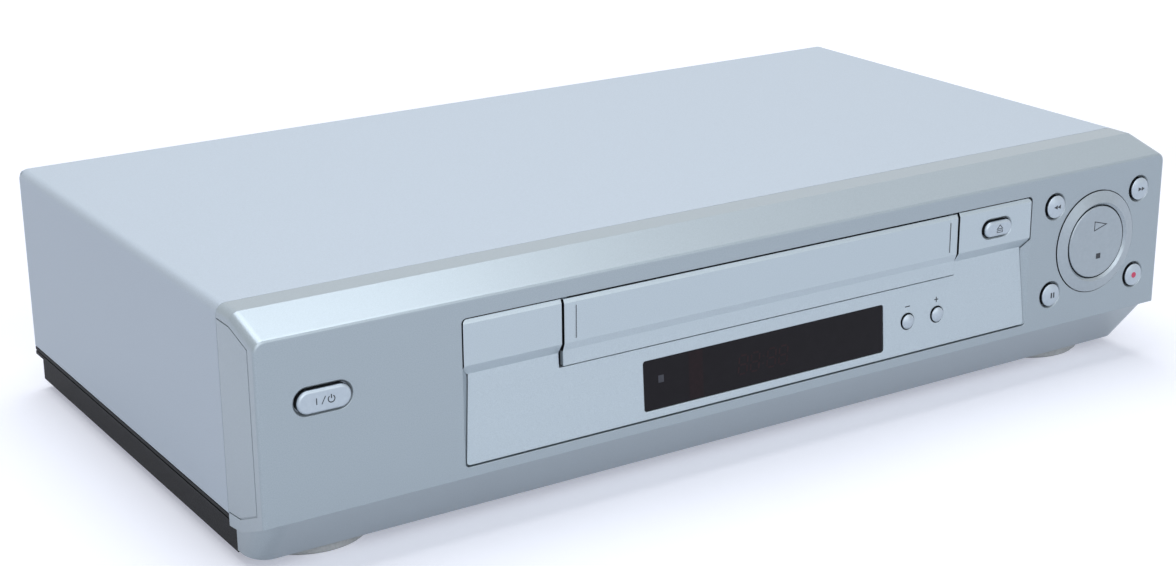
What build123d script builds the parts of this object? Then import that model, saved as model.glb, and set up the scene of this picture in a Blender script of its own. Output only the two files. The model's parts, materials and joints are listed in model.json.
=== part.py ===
from build123d import *

import os
from math import atan2, cos, degrees, hypot, radians, sin

# Front-loading VHS video cassette recorder, built as separate pieces.
#
# Frame: X to the right seen from the front, Y from front to back, Z up, in millimetres.
# The origin is on the table, under the middle of everything.
# Pieces are drawn in three kinds of sketch plane (see the helpers below), all of which
# measure depth from the front face and height from the table.

os.makedirs("parts", exist_ok=True)

# ------------------------------------------------------------------ driving dimensions
# Case
case_width = 430.0
case_depth = 236.0          # upright front face to the rear edge of the cover
case_height = 98.2          # table to the top of the cover
foot_height = 4.0           # clear height under the chassis
front_foot_radius = 25.0
foot_inset_x = 35.0         # case side to the middle of a foot
foot_inset_front = 45.0
foot_inset_rear = 34.0
sheet = 0.8                 # folded steel of the cover
fold_radius = 4.0           # outside radius of the cover's long folds
cover_bottom = 20.0         # lower edge of the cover's sides
rear_flange = 12.0          # height of the flange folded down behind the cover
joint_gap = 0.3             # between mouldings and covers that meet
cover_gap = 0.4             # between the cover and what reaches under it
plastic = 2.5               # wall of the fascia
hole_gap = 0.4              # round the sockets in the rear panel

# Fascia
face_bottom = 25.0          # height of the lower edge of the upright face
bevel_drop = 5.3            # top of the cover down to the upper edge of the upright face
face_round = 1.2
bevel_depth = 19.0          # front face to the crease behind the sloping bevel
fascia_depth = 30.0
skirt_bottom = 5.0
skirt_setback = 16.5        # how far the skirt's lower edge lies behind the face
skirt_inset = 2.5           # how far the skirt's ends lie inside the case sides
skirt_corner = 8.0
side_low_depth = 18.6       # the side walls' lower edge bends here
side_low_height = 16.7
side_end_height = 15.3
groove_inset = 4.8          # line scored round each side wall, inside its outline
groove_width = 0.5
groove_cut = 0.5
rim_wall = 1.4              # rim that reaches under the cover
rim_root = 1.5
rim_reach = 4.0
return_wall = 1.6           # walls turned back round the insert panel
return_depth = 7.0
boss_radius = 2.6

# Insert panel, with its cassette mouth
insert_left = -135.3
insert_right = 137.0
insert_bottom = 29.5
insert_top = 85.2
insert_corner = 2.0
insert_gap = 0.6            # between the insert and the fascia round it
band_bevel = (0.8, 1.6)     # depth and height of the bevel along the insert's top edge
band_bottom = 67.9          # the upright band ends and the step begins
step_depth = 2.7            # depth of the step where the lower panel begins
step_bottom = 63.7
foot_depth = 0.4            # depth of the lower panel at its bottom edge
ramp_run = 3.1              # how far the fascia's ramps reach in over the recess's ends
ramp_wall = 1.8
ramp_gap = 0.4              # between a ramp and the lower panel beside it
panel_wall = 2.2
end_wall = 1.5
lip_reach = 0.3             # how far the insert's lip passes the fascia's return walls
mouth_middle = 1.5          # x of the middle of the mouth, flap and tape deck
mouth_gap = 1.9             # cassette to each end of the mouth
mouth_bottom = 58.0
cheek_wall = 1.5
cheek_depth = 20.0

# Cassette flap
flap_gap = 1.1              # at each end
flap_top_gap = 0.9          # to the fascia above it
flap_wall = 2.2
flap_lip_depth = 1.2        # the face's lower part slants back to here
flap_lip_drop = 3.1
flap_lip_bottom = 58.9
flap_pivot_rise = 3.3       # pivot above the top of the insert
arm_width = 2.5
arm_radius = 2.0
pin_radius = 1.0
running_fit = 0.06          # radial clearance of pins and shafts that turn
rib_height = 12.6           # fine lines near both ends of the flap
rib_line = (0.6, 0.35)      # width and depth of each line
spring_wire = 0.3
spring_coil = 1.68
spring_pitch = 0.9
spring_length = 3.6

# Window
window_left = -57.5
window_right = 59.4
window_bottom = 32.8
window_top = 52.5
window_thick = 2.0
window_gap = 0.2
window_sunk = 0.3           # below the panel's surface

# Controls
power_inset = 24.7          # case side to the middle of the power button
power_height = 68.1
eject_at = (118.0, 75.5)    # x, height
channel_height = 43.1
channel_down_x = 72.4
channel_up_x = 88.2
ring_inset = 39.2           # case side to the middle of the control ring
ring_height = 59.5
small_angle = 38.3          # small buttons round the ring, above and below the level line
small_gap = 4.3             # between the ring and each of them
ring_radius = 22.4
ring_gap = 0.4
ring_crest = (1.1, 1.0)     # the bore's flare: how far outside the bore, and how deep
ring_proud = 1.6
ring_flange = 2.2           # the ring's flange behind the fascia's wall
rocker_radius = 15.9
rocker_gap = 0.5
rocker_sunk = 0.5           # the rocker's face behind the ring's crest
rocker_foot = 10.0          # rocker's level axis to the middle of each foot
small_radius = 4.9
channel_radius = 3.1
power_size = (20.6, 8.6)
eject_size = (14.6, 6.6)
cap_proud = 1.5
cap_dome = 0.9              # how far a round cap's face swells
cap_round = 0.4
cap_gap = 0.5
recess_bevel = 0.7
press_travel = 0.6
press_play = 0.15           # stem to switch, past the travel
collar = 1.0                # thickness of each cap's collar behind the wall
collar_reach = 1.3
collar_gap = 0.3
stem_radius = 2.0
switch_depth = 3.5
switch_size = 6.0
plunger_length = 0.8
plunger_radius = 1.7

# Cassette and its carriage
cassette_width = 188.0
cassette_height = 25.0
cassette_gap = 0.6
cassette_floor = 58.3       # underside of the cassette as it goes in
carriage_travel = 66.0
lowering_travel = 20.0
holder_wall = 1.2
carriage_wall = 0.9
frame_wall = 1.2
slide_gap = 0.4
holder_pin = 1.5
pin_play = 0.15
holder_front = 37.0
ledge_front = 24.0
holder_depth = 39.0
ledge_width = 14.0

# Tape deck
deck_top = 33.4
deck_sheet = 1.4
deck_margin = 1.3           # side frames to the edge of the deck plate
deck_front = 24.0
deck_back = 214.0
reel_spacing = 91.0
reel_depth = 79.0
reel_radius = 17.0
reel_gear_height = 2.6
tooth = 1.0
drum_radius = 31.0
drum_depth = 178.0
drum_tilt = 5.0
drum_height = 12.0          # of each of the two drums
drum_gap = 0.4
capstan_x = 54.0
capstan_depth = 147.0
capstan_radius = 1.5
bearing_radius = 5.0
bearing_drop = 7.0          # bearing tube below the deck plate
bearing_gap = 0.8           # bearing tube to the pinch roller above it
arm_height = 3.0            # thickness of the pinch arm
flywheel_radius = 22.0
cam_x = -58.0
cam_depth = 150.0
cam_radius = 24.0
cam_teeth = 60              # the worm has one start, so it turns once for each tooth
clutch_teeth = 24
idler_teeth = 54
reel_teeth = 48
lamp_back = 17.0            # clutch shaft to the end-of-tape lamp behind it
guide_start = (33.0, 130.0)  # sideways from the deck's middle, depth
guide_end = (45.0, 178.0)
post_top = 56.0

# Screws, all alike
screw_head_radius = 3.0
screw_head = 2.0
screw_radius = 1.4
screw_length = 9.0
screw_hole = 1.7            # radius of the clearance hole in sheet
screw_slot = (3.2, 0.7, 1.0)  # each arm of the cross, and how deep it is

# Chassis
chassis_side_top = 24.0
chassis_flanges = (16.2, 18.2)  # undersides of the two lines under the cover's edge
chassis_flange = 1.4
pillar_radius = 4.0
pillar_hole_radius = 1.5
pillar_solid = 8.0          # height of each pillar below its bore
pillar_inset = 10.0
pillar_depths = (48.0, 205.0)
post_radius = 3.0
vent_inset = 55.0           # case side to the middle of the floor's slots
vent_back = 102.0           # rear edge to the middle of the floor's slots
vent_slot = (60.0, 4.0)
vent_pitch = 9.0
vent_count = 8

# Boards
board = 1.6
board_height = 10.0         # underside of the main and power boards
front_board_depth = 14.0
chassis_wall = 2.0
panel_inset = 1.1           # rear edge of the cover to the rear panel's back
rear_sheet = 1.5

# Sockets at the back
inlet_inset = 50.0          # case side to the middle of the mains inlet
inlet_height = 22.0
inlet_size = (20.0, 14.0)
inlet_recess = (16.6, 9.0)
inlet_recess_depth = 12.0
inlet_pin_spread = 4.3
inlet_pin_radius = 1.2
scart_middles = (50.0, 108.0)
scart_width = 48.0
scart_height = 14.0
phono_x = -14.0
phono_heights = (20.0, 34.0)
phono_radius = 4.2
aerial_insets = (52.0, 28.0)  # case side to the middle of each aerial socket
aerial_height = 22.0
aerial_radius = 4.7
aerial_reach = 8.0          # how far the aerial sockets stand out behind the case

# ------------------------------------------------------------------ values worked out
half_width = case_width / 2
face_top = case_height - bevel_drop
power_at = (-half_width + power_inset, power_height)
ring_x = half_width - ring_inset
ring_bore = rocker_radius + rocker_gap
small_reach = ring_radius + small_gap + small_radius
small_spread_x = small_reach * cos(radians(small_angle))
small_spread_z = small_reach * sin(radians(small_angle))
face_y = -(case_depth + aerial_reach - ring_proud) / 2
deck_under = deck_top - deck_sheet
mouth_width = cassette_width + 2 * mouth_gap
mouth_left = mouth_middle - mouth_width / 2
mouth_right = mouth_middle + mouth_width / 2
panel_back = case_depth - panel_inset
panel_front = panel_back - rear_sheet
board_top = board_height + board
cover_front = fascia_depth + joint_gap
chassis_side = half_width - skirt_inset - 0.2
rim_side = half_width - sheet - cover_gap
bevel_slope = bevel_drop / bevel_depth
bevel_wall = plastic * hypot(1, bevel_slope)  # height taken by the bevel's wall
insert_middle = ((insert_left + insert_right) / 2, (insert_bottom + insert_top) / 2)
insert_width = insert_right - insert_left
insert_height = insert_top - insert_bottom
slope_run = step_depth - foot_depth
slope_rise = step_bottom - insert_bottom
slope_length = hypot(slope_run, slope_rise)
channel_front = foot_depth + slope_run * (channel_height - insert_bottom) / slope_rise
flap_left = mouth_left + flap_gap
flap_right = mouth_right - flap_gap
flap_top = insert_top + insert_gap - flap_top_gap
flap_pivot_depth = plastic + arm_radius + joint_gap
flap_pivot_height = insert_top + flap_pivot_rise
plunger_face = front_board_depth - switch_depth - plunger_length
stem_end = plunger_face - press_travel - press_play
inlet_at = (-half_width + inlet_inset, inlet_height)
scart_centre_height = board_top + scart_height / 2 + 1.0
aerial_xs = tuple(half_width - inset for inset in aerial_insets)
holder_inner = cassette_width / 2 + cassette_gap
carriage_inner = holder_inner + holder_wall + slide_gap
frame_inner = carriage_inner + carriage_wall + slide_gap
deck_half_width = frame_inner + frame_wall + deck_margin
holder_back = holder_front + holder_depth
holder_top = cassette_floor + cassette_height + 0.7
pin_depths = (holder_front + 9, holder_back - 7)
holder_pin_height = cassette_floor + 5
carriage_pin_height = holder_top - 6
carriage_top = holder_top + 4


def face_plane(depth):
    """Upright plane across the case: local x to the right, local y is height; normal to the front."""
    return Plane(origin=(0, face_y + depth, 0), x_dir=(1, 0, 0), z_dir=(0, -1, 0))


def back_plane(depth):
    """Upright plane across the case, seen from behind: local x to the left; normal to the back."""
    return Plane(origin=(0, face_y + depth, 0), x_dir=(-1, 0, 0), z_dir=(0, 1, 0))


def side_plane(x):
    """Upright plane from front to back: local x is depth, local y is height; normal to the right."""
    return Plane(origin=(x, face_y, 0), x_dir=(0, 1, 0), z_dir=(1, 0, 0))


def level(height):
    """Level plane: local x to the right, local y is depth behind the face; normal up."""
    return Plane(origin=(0, face_y, height), x_dir=(1, 0, 0), z_dir=(0, 0, 1))


# ================================================================== CASE
with BuildPart() as fascia:
    # Tapered skirt, with its slanting front corners rounded.
    with BuildSketch(side_plane(-(half_width - skirt_inset))):
        with BuildLine():
            Polyline(
                (0, face_bottom), (skirt_setback, skirt_bottom), (fascia_depth, skirt_bottom),
                (fascia_depth, face_bottom), close=True,
            )
        make_face()
    extrude(amount=2 * (half_width - skirt_inset))
    slanting = [
        edge for edge in fascia.edges()
        if abs(abs(edge.center().X) - (half_width - skirt_inset)) < 0.01
        and abs(edge.center().Y - face_y - skirt_setback / 2) < 0.01
    ]
    fillet(slanting, radius=skirt_corner)
    # Upper block: upright face, bevel, level strip and side walls.
    with BuildSketch(side_plane(-half_width)):
        with BuildLine():
            Polyline(
                (0, face_bottom), (0, face_top), (bevel_depth, case_height),
                (fascia_depth, case_height), (fascia_depth, side_end_height),
                (side_low_depth, side_low_height), close=True,
            )
        make_face()
    extrude(amount=case_width)
    long_folds = [
        edge for edge in fascia.edges()
        if abs(abs(edge.center().X) - half_width) < 0.01
        and edge.center().Z > face_top + 1 and edge.center().Y - face_y < fascia_depth - 0.1
    ]
    fillet(long_folds, radius=fold_radius)
    face_outline = [
        edge for edge in fascia.edges()
        if abs(edge.center().Y - face_y) < 0.01 and edge.center().Z > face_bottom + 5
    ]
    fillet(face_outline, radius=face_round)
    # Hollow from behind: one space in the upper block, a narrower one in the skirt.
    slope = hypot(skirt_setback, face_bottom - skirt_bottom)
    with BuildSketch(side_plane(-(half_width - plastic))):
        with BuildLine():
            Polyline(
                (plastic, face_bottom + plastic), (plastic, face_top + plastic * bevel_slope - bevel_wall),
                (bevel_depth, case_height - bevel_wall), (fascia_depth + 1, case_height - bevel_wall),
                (fascia_depth + 1, face_bottom + plastic), close=True,
            )
        make_face()
    extrude(amount=2 * (half_width - plastic), mode=Mode.SUBTRACT)
    low_inside = half_width - skirt_inset - 2 * plastic
    wall_run = plastic * slope / (face_bottom - skirt_bottom)
    low_start = wall_run + (skirt_setback / (face_bottom - skirt_bottom)) * (-plastic)
    with BuildSketch(side_plane(-low_inside)):
        with BuildLine():
            Polyline(
                (low_start, face_bottom + plastic),
                (skirt_setback + wall_run - skirt_setback * plastic / (face_bottom - skirt_bottom),
                 skirt_bottom + plastic),
                (fascia_depth + 1, skirt_bottom + plastic),
                (fascia_depth + 1, face_bottom + plastic), close=True,
            )
        make_face()
    extrude(amount=2 * low_inside, mode=Mode.SUBTRACT)
    # Rim that reaches under the cover.
    rim_top = case_height - sheet - cover_gap
    rim_height = rim_top - (face_bottom + 5)
    rim_corner = fold_radius - sheet
    with BuildSketch(face_plane(fascia_depth - rim_root)):
        with Locations((0, rim_top - rim_height / 2)):
            RectangleRounded(2 * rim_side, rim_height, rim_corner)
        with Locations((0, rim_top - rim_wall - rim_height / 2)):
            RectangleRounded(2 * (rim_side - rim_wall), rim_height, rim_corner - rim_wall,
                             mode=Mode.SUBTRACT)
    extrude(amount=-(rim_root + rim_reach))
    # Scored line round each side wall.
    for side in (-1, 1):
        with BuildSketch(side_plane(side * half_width)):
            with BuildLine():
                Polyline(
                    (0, face_bottom), (0, face_top), (bevel_depth, case_height),
                    (2 * fascia_depth, case_height), (2 * fascia_depth, side_end_height - 3),
                    (side_low_depth, side_low_height), close=True,
                )
            make_face()
            offset(amount=-groove_inset, kind=Kind.INTERSECTION, mode=Mode.REPLACE)
            offset(amount=-groove_width, kind=Kind.INTERSECTION, mode=Mode.SUBTRACT)
        extrude(amount=-side * groove_cut, mode=Mode.SUBTRACT)
    # Opening for the insert panel, with return walls round it except above the mouth.
    return_reach = insert_gap + return_wall
    with BuildSketch(face_plane(plastic)):
        with Locations(insert_middle):
            Rectangle(insert_width + 2 * return_reach, insert_height + 2 * return_reach)
        with Locations((mouth_middle, insert_top + insert_gap + 2)):
            Rectangle(mouth_width + 18, 8, mode=Mode.SUBTRACT)
    extrude(amount=-return_depth)
    with BuildSketch(face_plane(-1)):
        with Locations(insert_middle):
            RectangleRounded(insert_width + 2 * insert_gap, insert_height + 2 * insert_gap, insert_corner)
    extrude(amount=-(fascia_depth), mode=Mode.SUBTRACT)
    # Ramps that lead from the face in to the ends of the recessed lower panel. Their tops
    # stop short of the insert's step, along the same slant.
    for edge_x, inward in ((insert_left - insert_gap, 1), (insert_right + insert_gap, -1)):
        with BuildSketch(level(insert_bottom - insert_gap)):
            with BuildLine():
                Polyline(
                    (edge_x - inward, 0), (edge_x, 0), (edge_x + inward * ramp_run, step_depth),
                    (edge_x + inward * ramp_run, step_depth + ramp_wall), (edge_x, ramp_wall),
                    (edge_x - inward, ramp_wall), close=True,
                )
            make_face()
        extrude(amount=band_bottom - insert_bottom)
    with BuildSketch(side_plane(insert_left - insert_gap)):
        with BuildLine():
            Polyline(
                (-1, band_bottom - insert_gap), (0, band_bottom - insert_gap),
                (step_depth, step_bottom - insert_gap), (2 * plastic, step_bottom - insert_gap),
                (2 * plastic, band_bottom + 1), (-1, band_bottom + 1), close=True,
            )
        make_face()
    extrude(amount=insert_width + 2 * insert_gap, mode=Mode.SUBTRACT)
    # Seat of the control ring.
    with BuildSketch(face_plane(-1)):
        with Locations((ring_x, ring_height)):
            Circle(ring_radius + ring_gap)
    extrude(amount=-(plastic + 2), mode=Mode.SUBTRACT)
    # Holes for the small round buttons and for the power button, bevelled at the face.
    small_places = [
        (ring_x + side * small_spread_x, ring_height + up * small_spread_z)
        for side in (-1, 1) for up in (-1, 1)
    ]
    with BuildSketch(face_plane(-1)):
        with Locations(*small_places):
            Circle(small_radius + cap_gap)
        with Locations(power_at):
            SlotOverall(power_size[0] + 2 * cap_gap, power_size[1] + 2 * cap_gap)
    extrude(amount=-(plastic + 2), mode=Mode.SUBTRACT)
    hole_rims = [
        edge for edge in fascia.edges()
        if abs(edge.center().Y - face_y) < 0.01
        and abs(edge.bounding_box().max.Y - face_y) < 0.01
        and edge.bounding_box().size.Z < power_size[1] + 4
        and edge.bounding_box().size.X < power_size[0] + 4
        and face_bottom + 6 < edge.center().Z < face_top - 6
        and (edge.center().X > insert_right + 5 or edge.center().X < insert_left - 5)
        and hypot(edge.center().X - ring_x, edge.center().Z - ring_height) > 20
    ]
    chamfer(hole_rims, length=recess_bevel)
    # Bosses that carry the front board.
    boss_places = [
        (insert_left - 26, 36), (insert_left - 26, 82),
        (insert_right + 6, 50), (ring_x + small_spread_x + 6, ring_height),
    ]
    with BuildSketch(face_plane(plastic)):
        with Locations(*boss_places):
            Circle(boss_radius)
    extrude(amount=-(front_board_depth - plastic))
fascia.part.label = "fascia"
export_step(fascia.part, "parts/fascia.step")

with BuildPart() as top_cover:
    with BuildSketch(face_plane(cover_front)):
        with Locations((0, case_height / 2)):
            RectangleRounded(case_width, case_height, fold_radius)
        with Locations((0, case_height / 2 - sheet)):
            RectangleRounded(case_width - 2 * sheet, case_height, fold_radius - sheet, mode=Mode.SUBTRACT)
        Rectangle(case_width, 2 * cover_bottom, mode=Mode.SUBTRACT)
    extrude(amount=-(case_depth - cover_front))
    # Flange folded down at the back, with the screw holes.
    with BuildSketch(face_plane(case_depth)):
        with Locations((0, case_height - (sheet + rear_flange) / 2)):
            RectangleRounded(case_width - sheet, rear_flange, fold_radius / 2)
    extrude(amount=sheet)
    screw_xs = (-0.42 * case_width, 0, 0.42 * case_width)
    screw_height = case_height - 8.4
    with BuildSketch(face_plane(case_depth + 1)):
        with Locations(*[(x, screw_height) for x in screw_xs]):
            Circle(screw_hole)
    extrude(amount=3, mode=Mode.SUBTRACT)
top_cover.part.label = "top_cover"
export_step(top_cover.part, "parts/top_cover.step")

with BuildPart() as chassis_base:
    floor_top = foot_height + chassis_wall
    base_length = case_depth - cover_front
    base_middle = (0, cover_front + base_length / 2)
    with BuildSketch(level(foot_height)):
        with Locations(base_middle):
            Rectangle(2 * chassis_side, base_length)
    extrude(amount=chassis_wall)
    # Side walls, then two flanges that end flush under the cover's edge.
    for side in (-1, 1):
        with BuildSketch(level(floor_top)):
            with Locations((side * (chassis_side - chassis_wall / 2), base_middle[1])):
                Rectangle(chassis_wall, base_length)
        extrude(amount=chassis_side_top - floor_top)
        for flange_low in chassis_flanges:
            with BuildSketch(level(flange_low)):
                with Locations((side * (half_width + chassis_side - chassis_wall) / 2, base_middle[1])):
                    Rectangle(half_width - chassis_side + chassis_wall, base_length)
            extrude(amount=chassis_flange)
    # Ventilation slots under the power board.
    with BuildSketch(level(0)):
        with Locations(*[(side * (half_width - vent_inset), case_depth - vent_back) for side in (-1, 1)]):
            with GridLocations(0, vent_pitch, 1, vent_count):
                SlotOverall(*vent_slot)
    extrude(amount=floor_top + 1, mode=Mode.SUBTRACT)
    # Pillars for the deck, bored for its screws, and short posts for the boards.
    pillar_side = deck_half_width - pillar_inset
    pillars = [(mouth_middle + side * pillar_side, depth) for side in (-1, 1) for depth in pillar_depths]
    with BuildSketch(level(floor_top)):
        with Locations(*pillars):
            Circle(pillar_radius)
    extrude(amount=deck_under - floor_top)
    with BuildSketch(level(floor_top + pillar_solid)):
        with Locations(*pillars):
            Circle(pillar_hole_radius)
    extrude(amount=deck_under - floor_top, mode=Mode.SUBTRACT)
    main_left = mouth_middle - deck_half_width + 4
    main_right = half_width - 9
    main_front = 44.0
    board_back = panel_front - 4
    power_left = -half_width + 9
    power_right = main_left - 8
    power_front = 120.0
    board_posts = [
        (main_left + 6, main_front + 40), (main_right - 6, main_front + 6),
        (main_left + 6, board_back - 30), (main_right - 6, board_back - 6),
        (power_left + 5, power_front + 5), (power_right - 5, power_front + 5),
        (power_left + 5, board_back - 5), (power_right - 5, board_back - 5),
    ]
    with BuildSketch(level(floor_top)):
        with Locations(*board_posts):
            Circle(post_radius)
    extrude(amount=board_height - floor_top)
chassis_base.part.label = "chassis_base"
export_step(chassis_base.part, "parts/chassis_base.step")

with BuildPart() as feet:
    foot_places = [
        (side * (half_width - foot_inset_x), depth)
        for side in (-1, 1) for depth in (foot_inset_front, case_depth - foot_inset_rear)
    ]
    with BuildSketch(level(0)):
        with Locations(*foot_places):
            Circle(front_foot_radius)
    extrude(amount=foot_height)
    soles = [edge for edge in feet.edges() if edge.center().Z < 0.01]
    chamfer(soles, length=0.8)
feet.part.label = "feet"
export_step(feet.part, "parts/feet.step")

# ================================================================== REAR
with BuildPart() as rear_panel:
    panel_bottom = floor_top
    panel_top = case_height - sheet - 0.8
    with BuildSketch(face_plane(panel_front)):
        # Between the chassis walls below, and across the whole cover above them.
        with Locations((0, (panel_bottom + panel_top) / 2)):
            Rectangle(2 * (chassis_side - chassis_wall - joint_gap), panel_top - panel_bottom)
        with Locations((0, (chassis_side_top + joint_gap + panel_top) / 2)):
            RectangleRounded(2 * rim_side, panel_top - chassis_side_top - joint_gap, rim_corner)
        with Locations(inlet_at):
            Rectangle(inlet_size[0] + 2 * hole_gap, inlet_size[1] + 2 * hole_gap, mode=Mode.SUBTRACT)
        with Locations(*[(x, scart_centre_height) for x in scart_middles]):
            Rectangle(scart_width + 2 * hole_gap, scart_height + 2 * hole_gap, mode=Mode.SUBTRACT)
        with Locations(*[(phono_x, height) for height in phono_heights]):
            Circle(phono_radius + hole_gap, mode=Mode.SUBTRACT)
        with Locations(*[(x, aerial_height) for x in aerial_xs]):
            Circle(aerial_radius + hole_gap, mode=Mode.SUBTRACT)
        with Locations(*[(x, screw_height) for x in screw_xs]):
            Circle(1.5, mode=Mode.SUBTRACT)
        # Ventilation slots behind the power board.
        with Locations((inlet_at[0], 62)):
            with GridLocations(6, 0, 11, 1):
                SlotOverall(26, 3, rotation=90, mode=Mode.SUBTRACT)
    extrude(amount=-rear_sheet)
rear_panel.part.label = "rear_panel"
export_step(rear_panel.part, "parts/rear_panel.step")

# ================================================================== INSERT PANEL AND FLAP
# Plane of the sloping lower panel: local x to the right, local y up the slope.
slope_plane = Plane(
    origin=(0, face_y + foot_depth, insert_bottom), x_dir=(1, 0, 0),
    z_dir=(0, -slope_rise / slope_length, slope_run / slope_length),
)


def up_slope(height):
    """Distance along the lower panel's slope that reaches a height above the table."""
    return (height - insert_bottom) * slope_length / slope_rise


window_middle = ((window_left + window_right) / 2, up_slope((window_bottom + window_top) / 2))
window_width = window_right - window_left
window_rise = up_slope(window_top) - up_slope(window_bottom)

wall_back = plastic + return_depth + joint_gap + end_wall
ramp_back = step_depth + ramp_wall + ramp_gap
cheek_front = plastic + 0.4
cheek_peak = cheek_front + 2.1
cheek_top = face_top + bevel_slope * cheek_peak - bevel_wall - joint_gap

with BuildPart() as insert_panel:
    # Bevelled top edge, upright band, step and sloping lower panel, one wall thick.
    with BuildSketch(side_plane(insert_left)):
        with BuildLine():
            Polyline(
                (band_bevel[0], insert_top), (0, insert_top - band_bevel[1]), (0, band_bottom),
                (step_depth, step_bottom), (foot_depth, insert_bottom),
            )
            offset(amount=panel_wall, side=Side.LEFT, kind=Kind.INTERSECTION)
        make_face()
    extrude(amount=insert_width)
    # Room for the fascia's ramps at both ends of the lower panel.
    for edge_x, inward in ((insert_left - insert_gap, 1), (insert_right + insert_gap, -1)):
        with BuildSketch(level(insert_bottom - 1)):
            with BuildLine():
                Polyline(
                    (edge_x - inward, -1), (edge_x + inward * ramp_gap, -1),
                    (edge_x + inward * ramp_gap, 0),
                    (edge_x + inward * (ramp_run + ramp_gap), step_depth),
                    (edge_x + inward * (ramp_run + ramp_gap), ramp_back),
                    (edge_x - inward, ramp_back), close=True,
                )
            make_face()
        extrude(amount=step_bottom - insert_bottom + 1, mode=Mode.SUBTRACT)
    # End walls behind the band and the ramps, and a flank wall beside each ramp.
    for end_x, inward in ((insert_left, 1), (insert_right, -1)):
        with BuildSketch(side_plane(end_x)):
            with BuildLine():
                Polyline(
                    (panel_wall / 2, insert_top), (panel_wall / 2, band_bottom),
                    (ramp_back, step_bottom), (ramp_back, insert_bottom),
                    (wall_back, insert_bottom), (wall_back, insert_top), close=True,
                )
            make_face()
        extrude(amount=inward * end_wall)
        with BuildSketch(side_plane(end_x + inward * (ramp_run + ramp_gap - insert_gap))):
            with BuildLine():
                Polyline(
                    (foot_depth + panel_wall / 2, insert_bottom),
                    (step_depth + panel_wall / 2, step_bottom), (wall_back, step_bottom),
                    (wall_back, insert_bottom), close=True,
                )
            make_face()
        extrude(amount=inward * end_wall)
    with BuildSketch(face_plane(wall_back)):
        with Locations((insert_middle[0], insert_bottom + end_wall / 2)):
            Rectangle(insert_width, end_wall)
    extrude(amount=wall_back - ramp_back)
    with BuildSketch(face_plane(wall_back)):
        with Locations((insert_middle[0], insert_bottom + end_wall / 2)):
            Rectangle(insert_width - 2 * (ramp_run + ramp_gap - insert_gap), end_wall)
    extrude(amount=wall_back - foot_depth - panel_wall / 2)
    with BuildSketch(face_plane(-1)):
        with Locations(insert_middle):
            RectangleRounded(insert_width, insert_height, insert_corner)
    extrude(amount=-(wall_back + 1), mode=Mode.INTERSECT)
    # Lip that stops behind the fascia's return walls, open above the mouth.
    lip = insert_gap + return_wall + lip_reach
    lip_inside = ramp_run + ramp_gap - insert_gap + end_wall
    with BuildSketch(face_plane(wall_back)):
        with Locations(insert_middle):
            Rectangle(insert_width + 2 * lip, insert_height + 2 * lip)
            Rectangle(insert_width - 2 * lip_inside, insert_height - 2 * end_wall, mode=Mode.SUBTRACT)
        with Locations((insert_middle[0], insert_top)):
            Rectangle(insert_width + 2 * lip + 2, 2 * lip + 4, mode=Mode.SUBTRACT)
    extrude(amount=end_wall)
    # Mouth for the flap and the cassette.
    with BuildSketch(face_plane(-1)):
        with Locations((mouth_middle, mouth_bottom + 30)):
            Rectangle(mouth_width, 60)
    extrude(amount=-(wall_back + 3), mode=Mode.SUBTRACT)
    # Sill under the mouth and a cheek at each end, bored for the flap's pins.
    with BuildSketch(face_plane(cheek_depth)):
        with Locations((mouth_middle, mouth_bottom - cheek_wall / 2)):
            Rectangle(mouth_width + 2 * cheek_wall, cheek_wall)
    extrude(amount=cheek_depth - step_depth - panel_wall / 2)
    for side in (-1, 1):
        with BuildSketch(side_plane(mouth_middle + side * (mouth_width / 2 + cheek_wall / 2))):
            with BuildLine():
                Polyline(
                    (cheek_front, cheek_top - 1.2), (cheek_peak, cheek_top), (cheek_peak + 3.5, cheek_top),
                    (cheek_depth, cheek_top - 8), (cheek_depth, mouth_bottom - cheek_wall),
                    (step_depth + panel_wall / 2, mouth_bottom - cheek_wall),
                    (step_depth + panel_wall / 2, step_bottom), (panel_wall / 2, band_bottom + 1),
                    (panel_wall / 2, insert_top), (cheek_front, insert_top), close=True,
                )
            make_face()
            with Locations((flap_pivot_depth, flap_pivot_height)):
                Circle(pin_radius + running_fit, mode=Mode.SUBTRACT)
        extrude(amount=cheek_wall / 2, both=True)
    # Window opening, square to the slope.
    with BuildSketch(slope_plane.offset(2)):
        with Locations(window_middle):
            RectangleRounded(window_width + 2 * window_gap, window_rise + 2 * window_gap, 1.2)
    extrude(amount=-8, mode=Mode.SUBTRACT)
    # Channel buttons and the eject button.
    with BuildSketch(face_plane(-1)):
        with Locations((channel_down_x, channel_height), (channel_up_x, channel_height)):
            Circle(channel_radius + cap_gap)
        with Locations(eject_at):
            SlotOverall(eject_size[0] + 2 * cap_gap, eject_size[1] + 2 * cap_gap)
    extrude(amount=-9, mode=Mode.SUBTRACT)
    eject_rim = [
        edge for edge in insert_panel.edges()
        if abs(edge.bounding_box().max.Y - face_y) < 0.01 and abs(edge.bounding_box().min.Y - face_y) < 0.01
        and abs(edge.center().X - eject_at[0]) < eject_size[0]
        and abs(edge.center().Z - eject_at[1]) < eject_size[1] / 2 + 0.6
    ]
    chamfer(eject_rim, length=recess_bevel)
insert_panel.part.label = "insert_panel"
export_step(insert_panel.part, "parts/insert_panel.step")

with BuildPart() as display_window:
    with BuildSketch(slope_plane.offset(-window_sunk)):
        with Locations(window_middle):
            RectangleRounded(window_width, window_rise, 1.0)
    extrude(amount=-window_thick)
    with BuildSketch(slope_plane.offset(-panel_wall)):
        with Locations(window_middle):
            RectangleRounded(window_width + 3, window_rise + 1.4, 1.0)
    extrude(amount=-1.0)
display_window.part.label = "display_window"
export_step(display_window.part, "parts/display_window.step")

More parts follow.
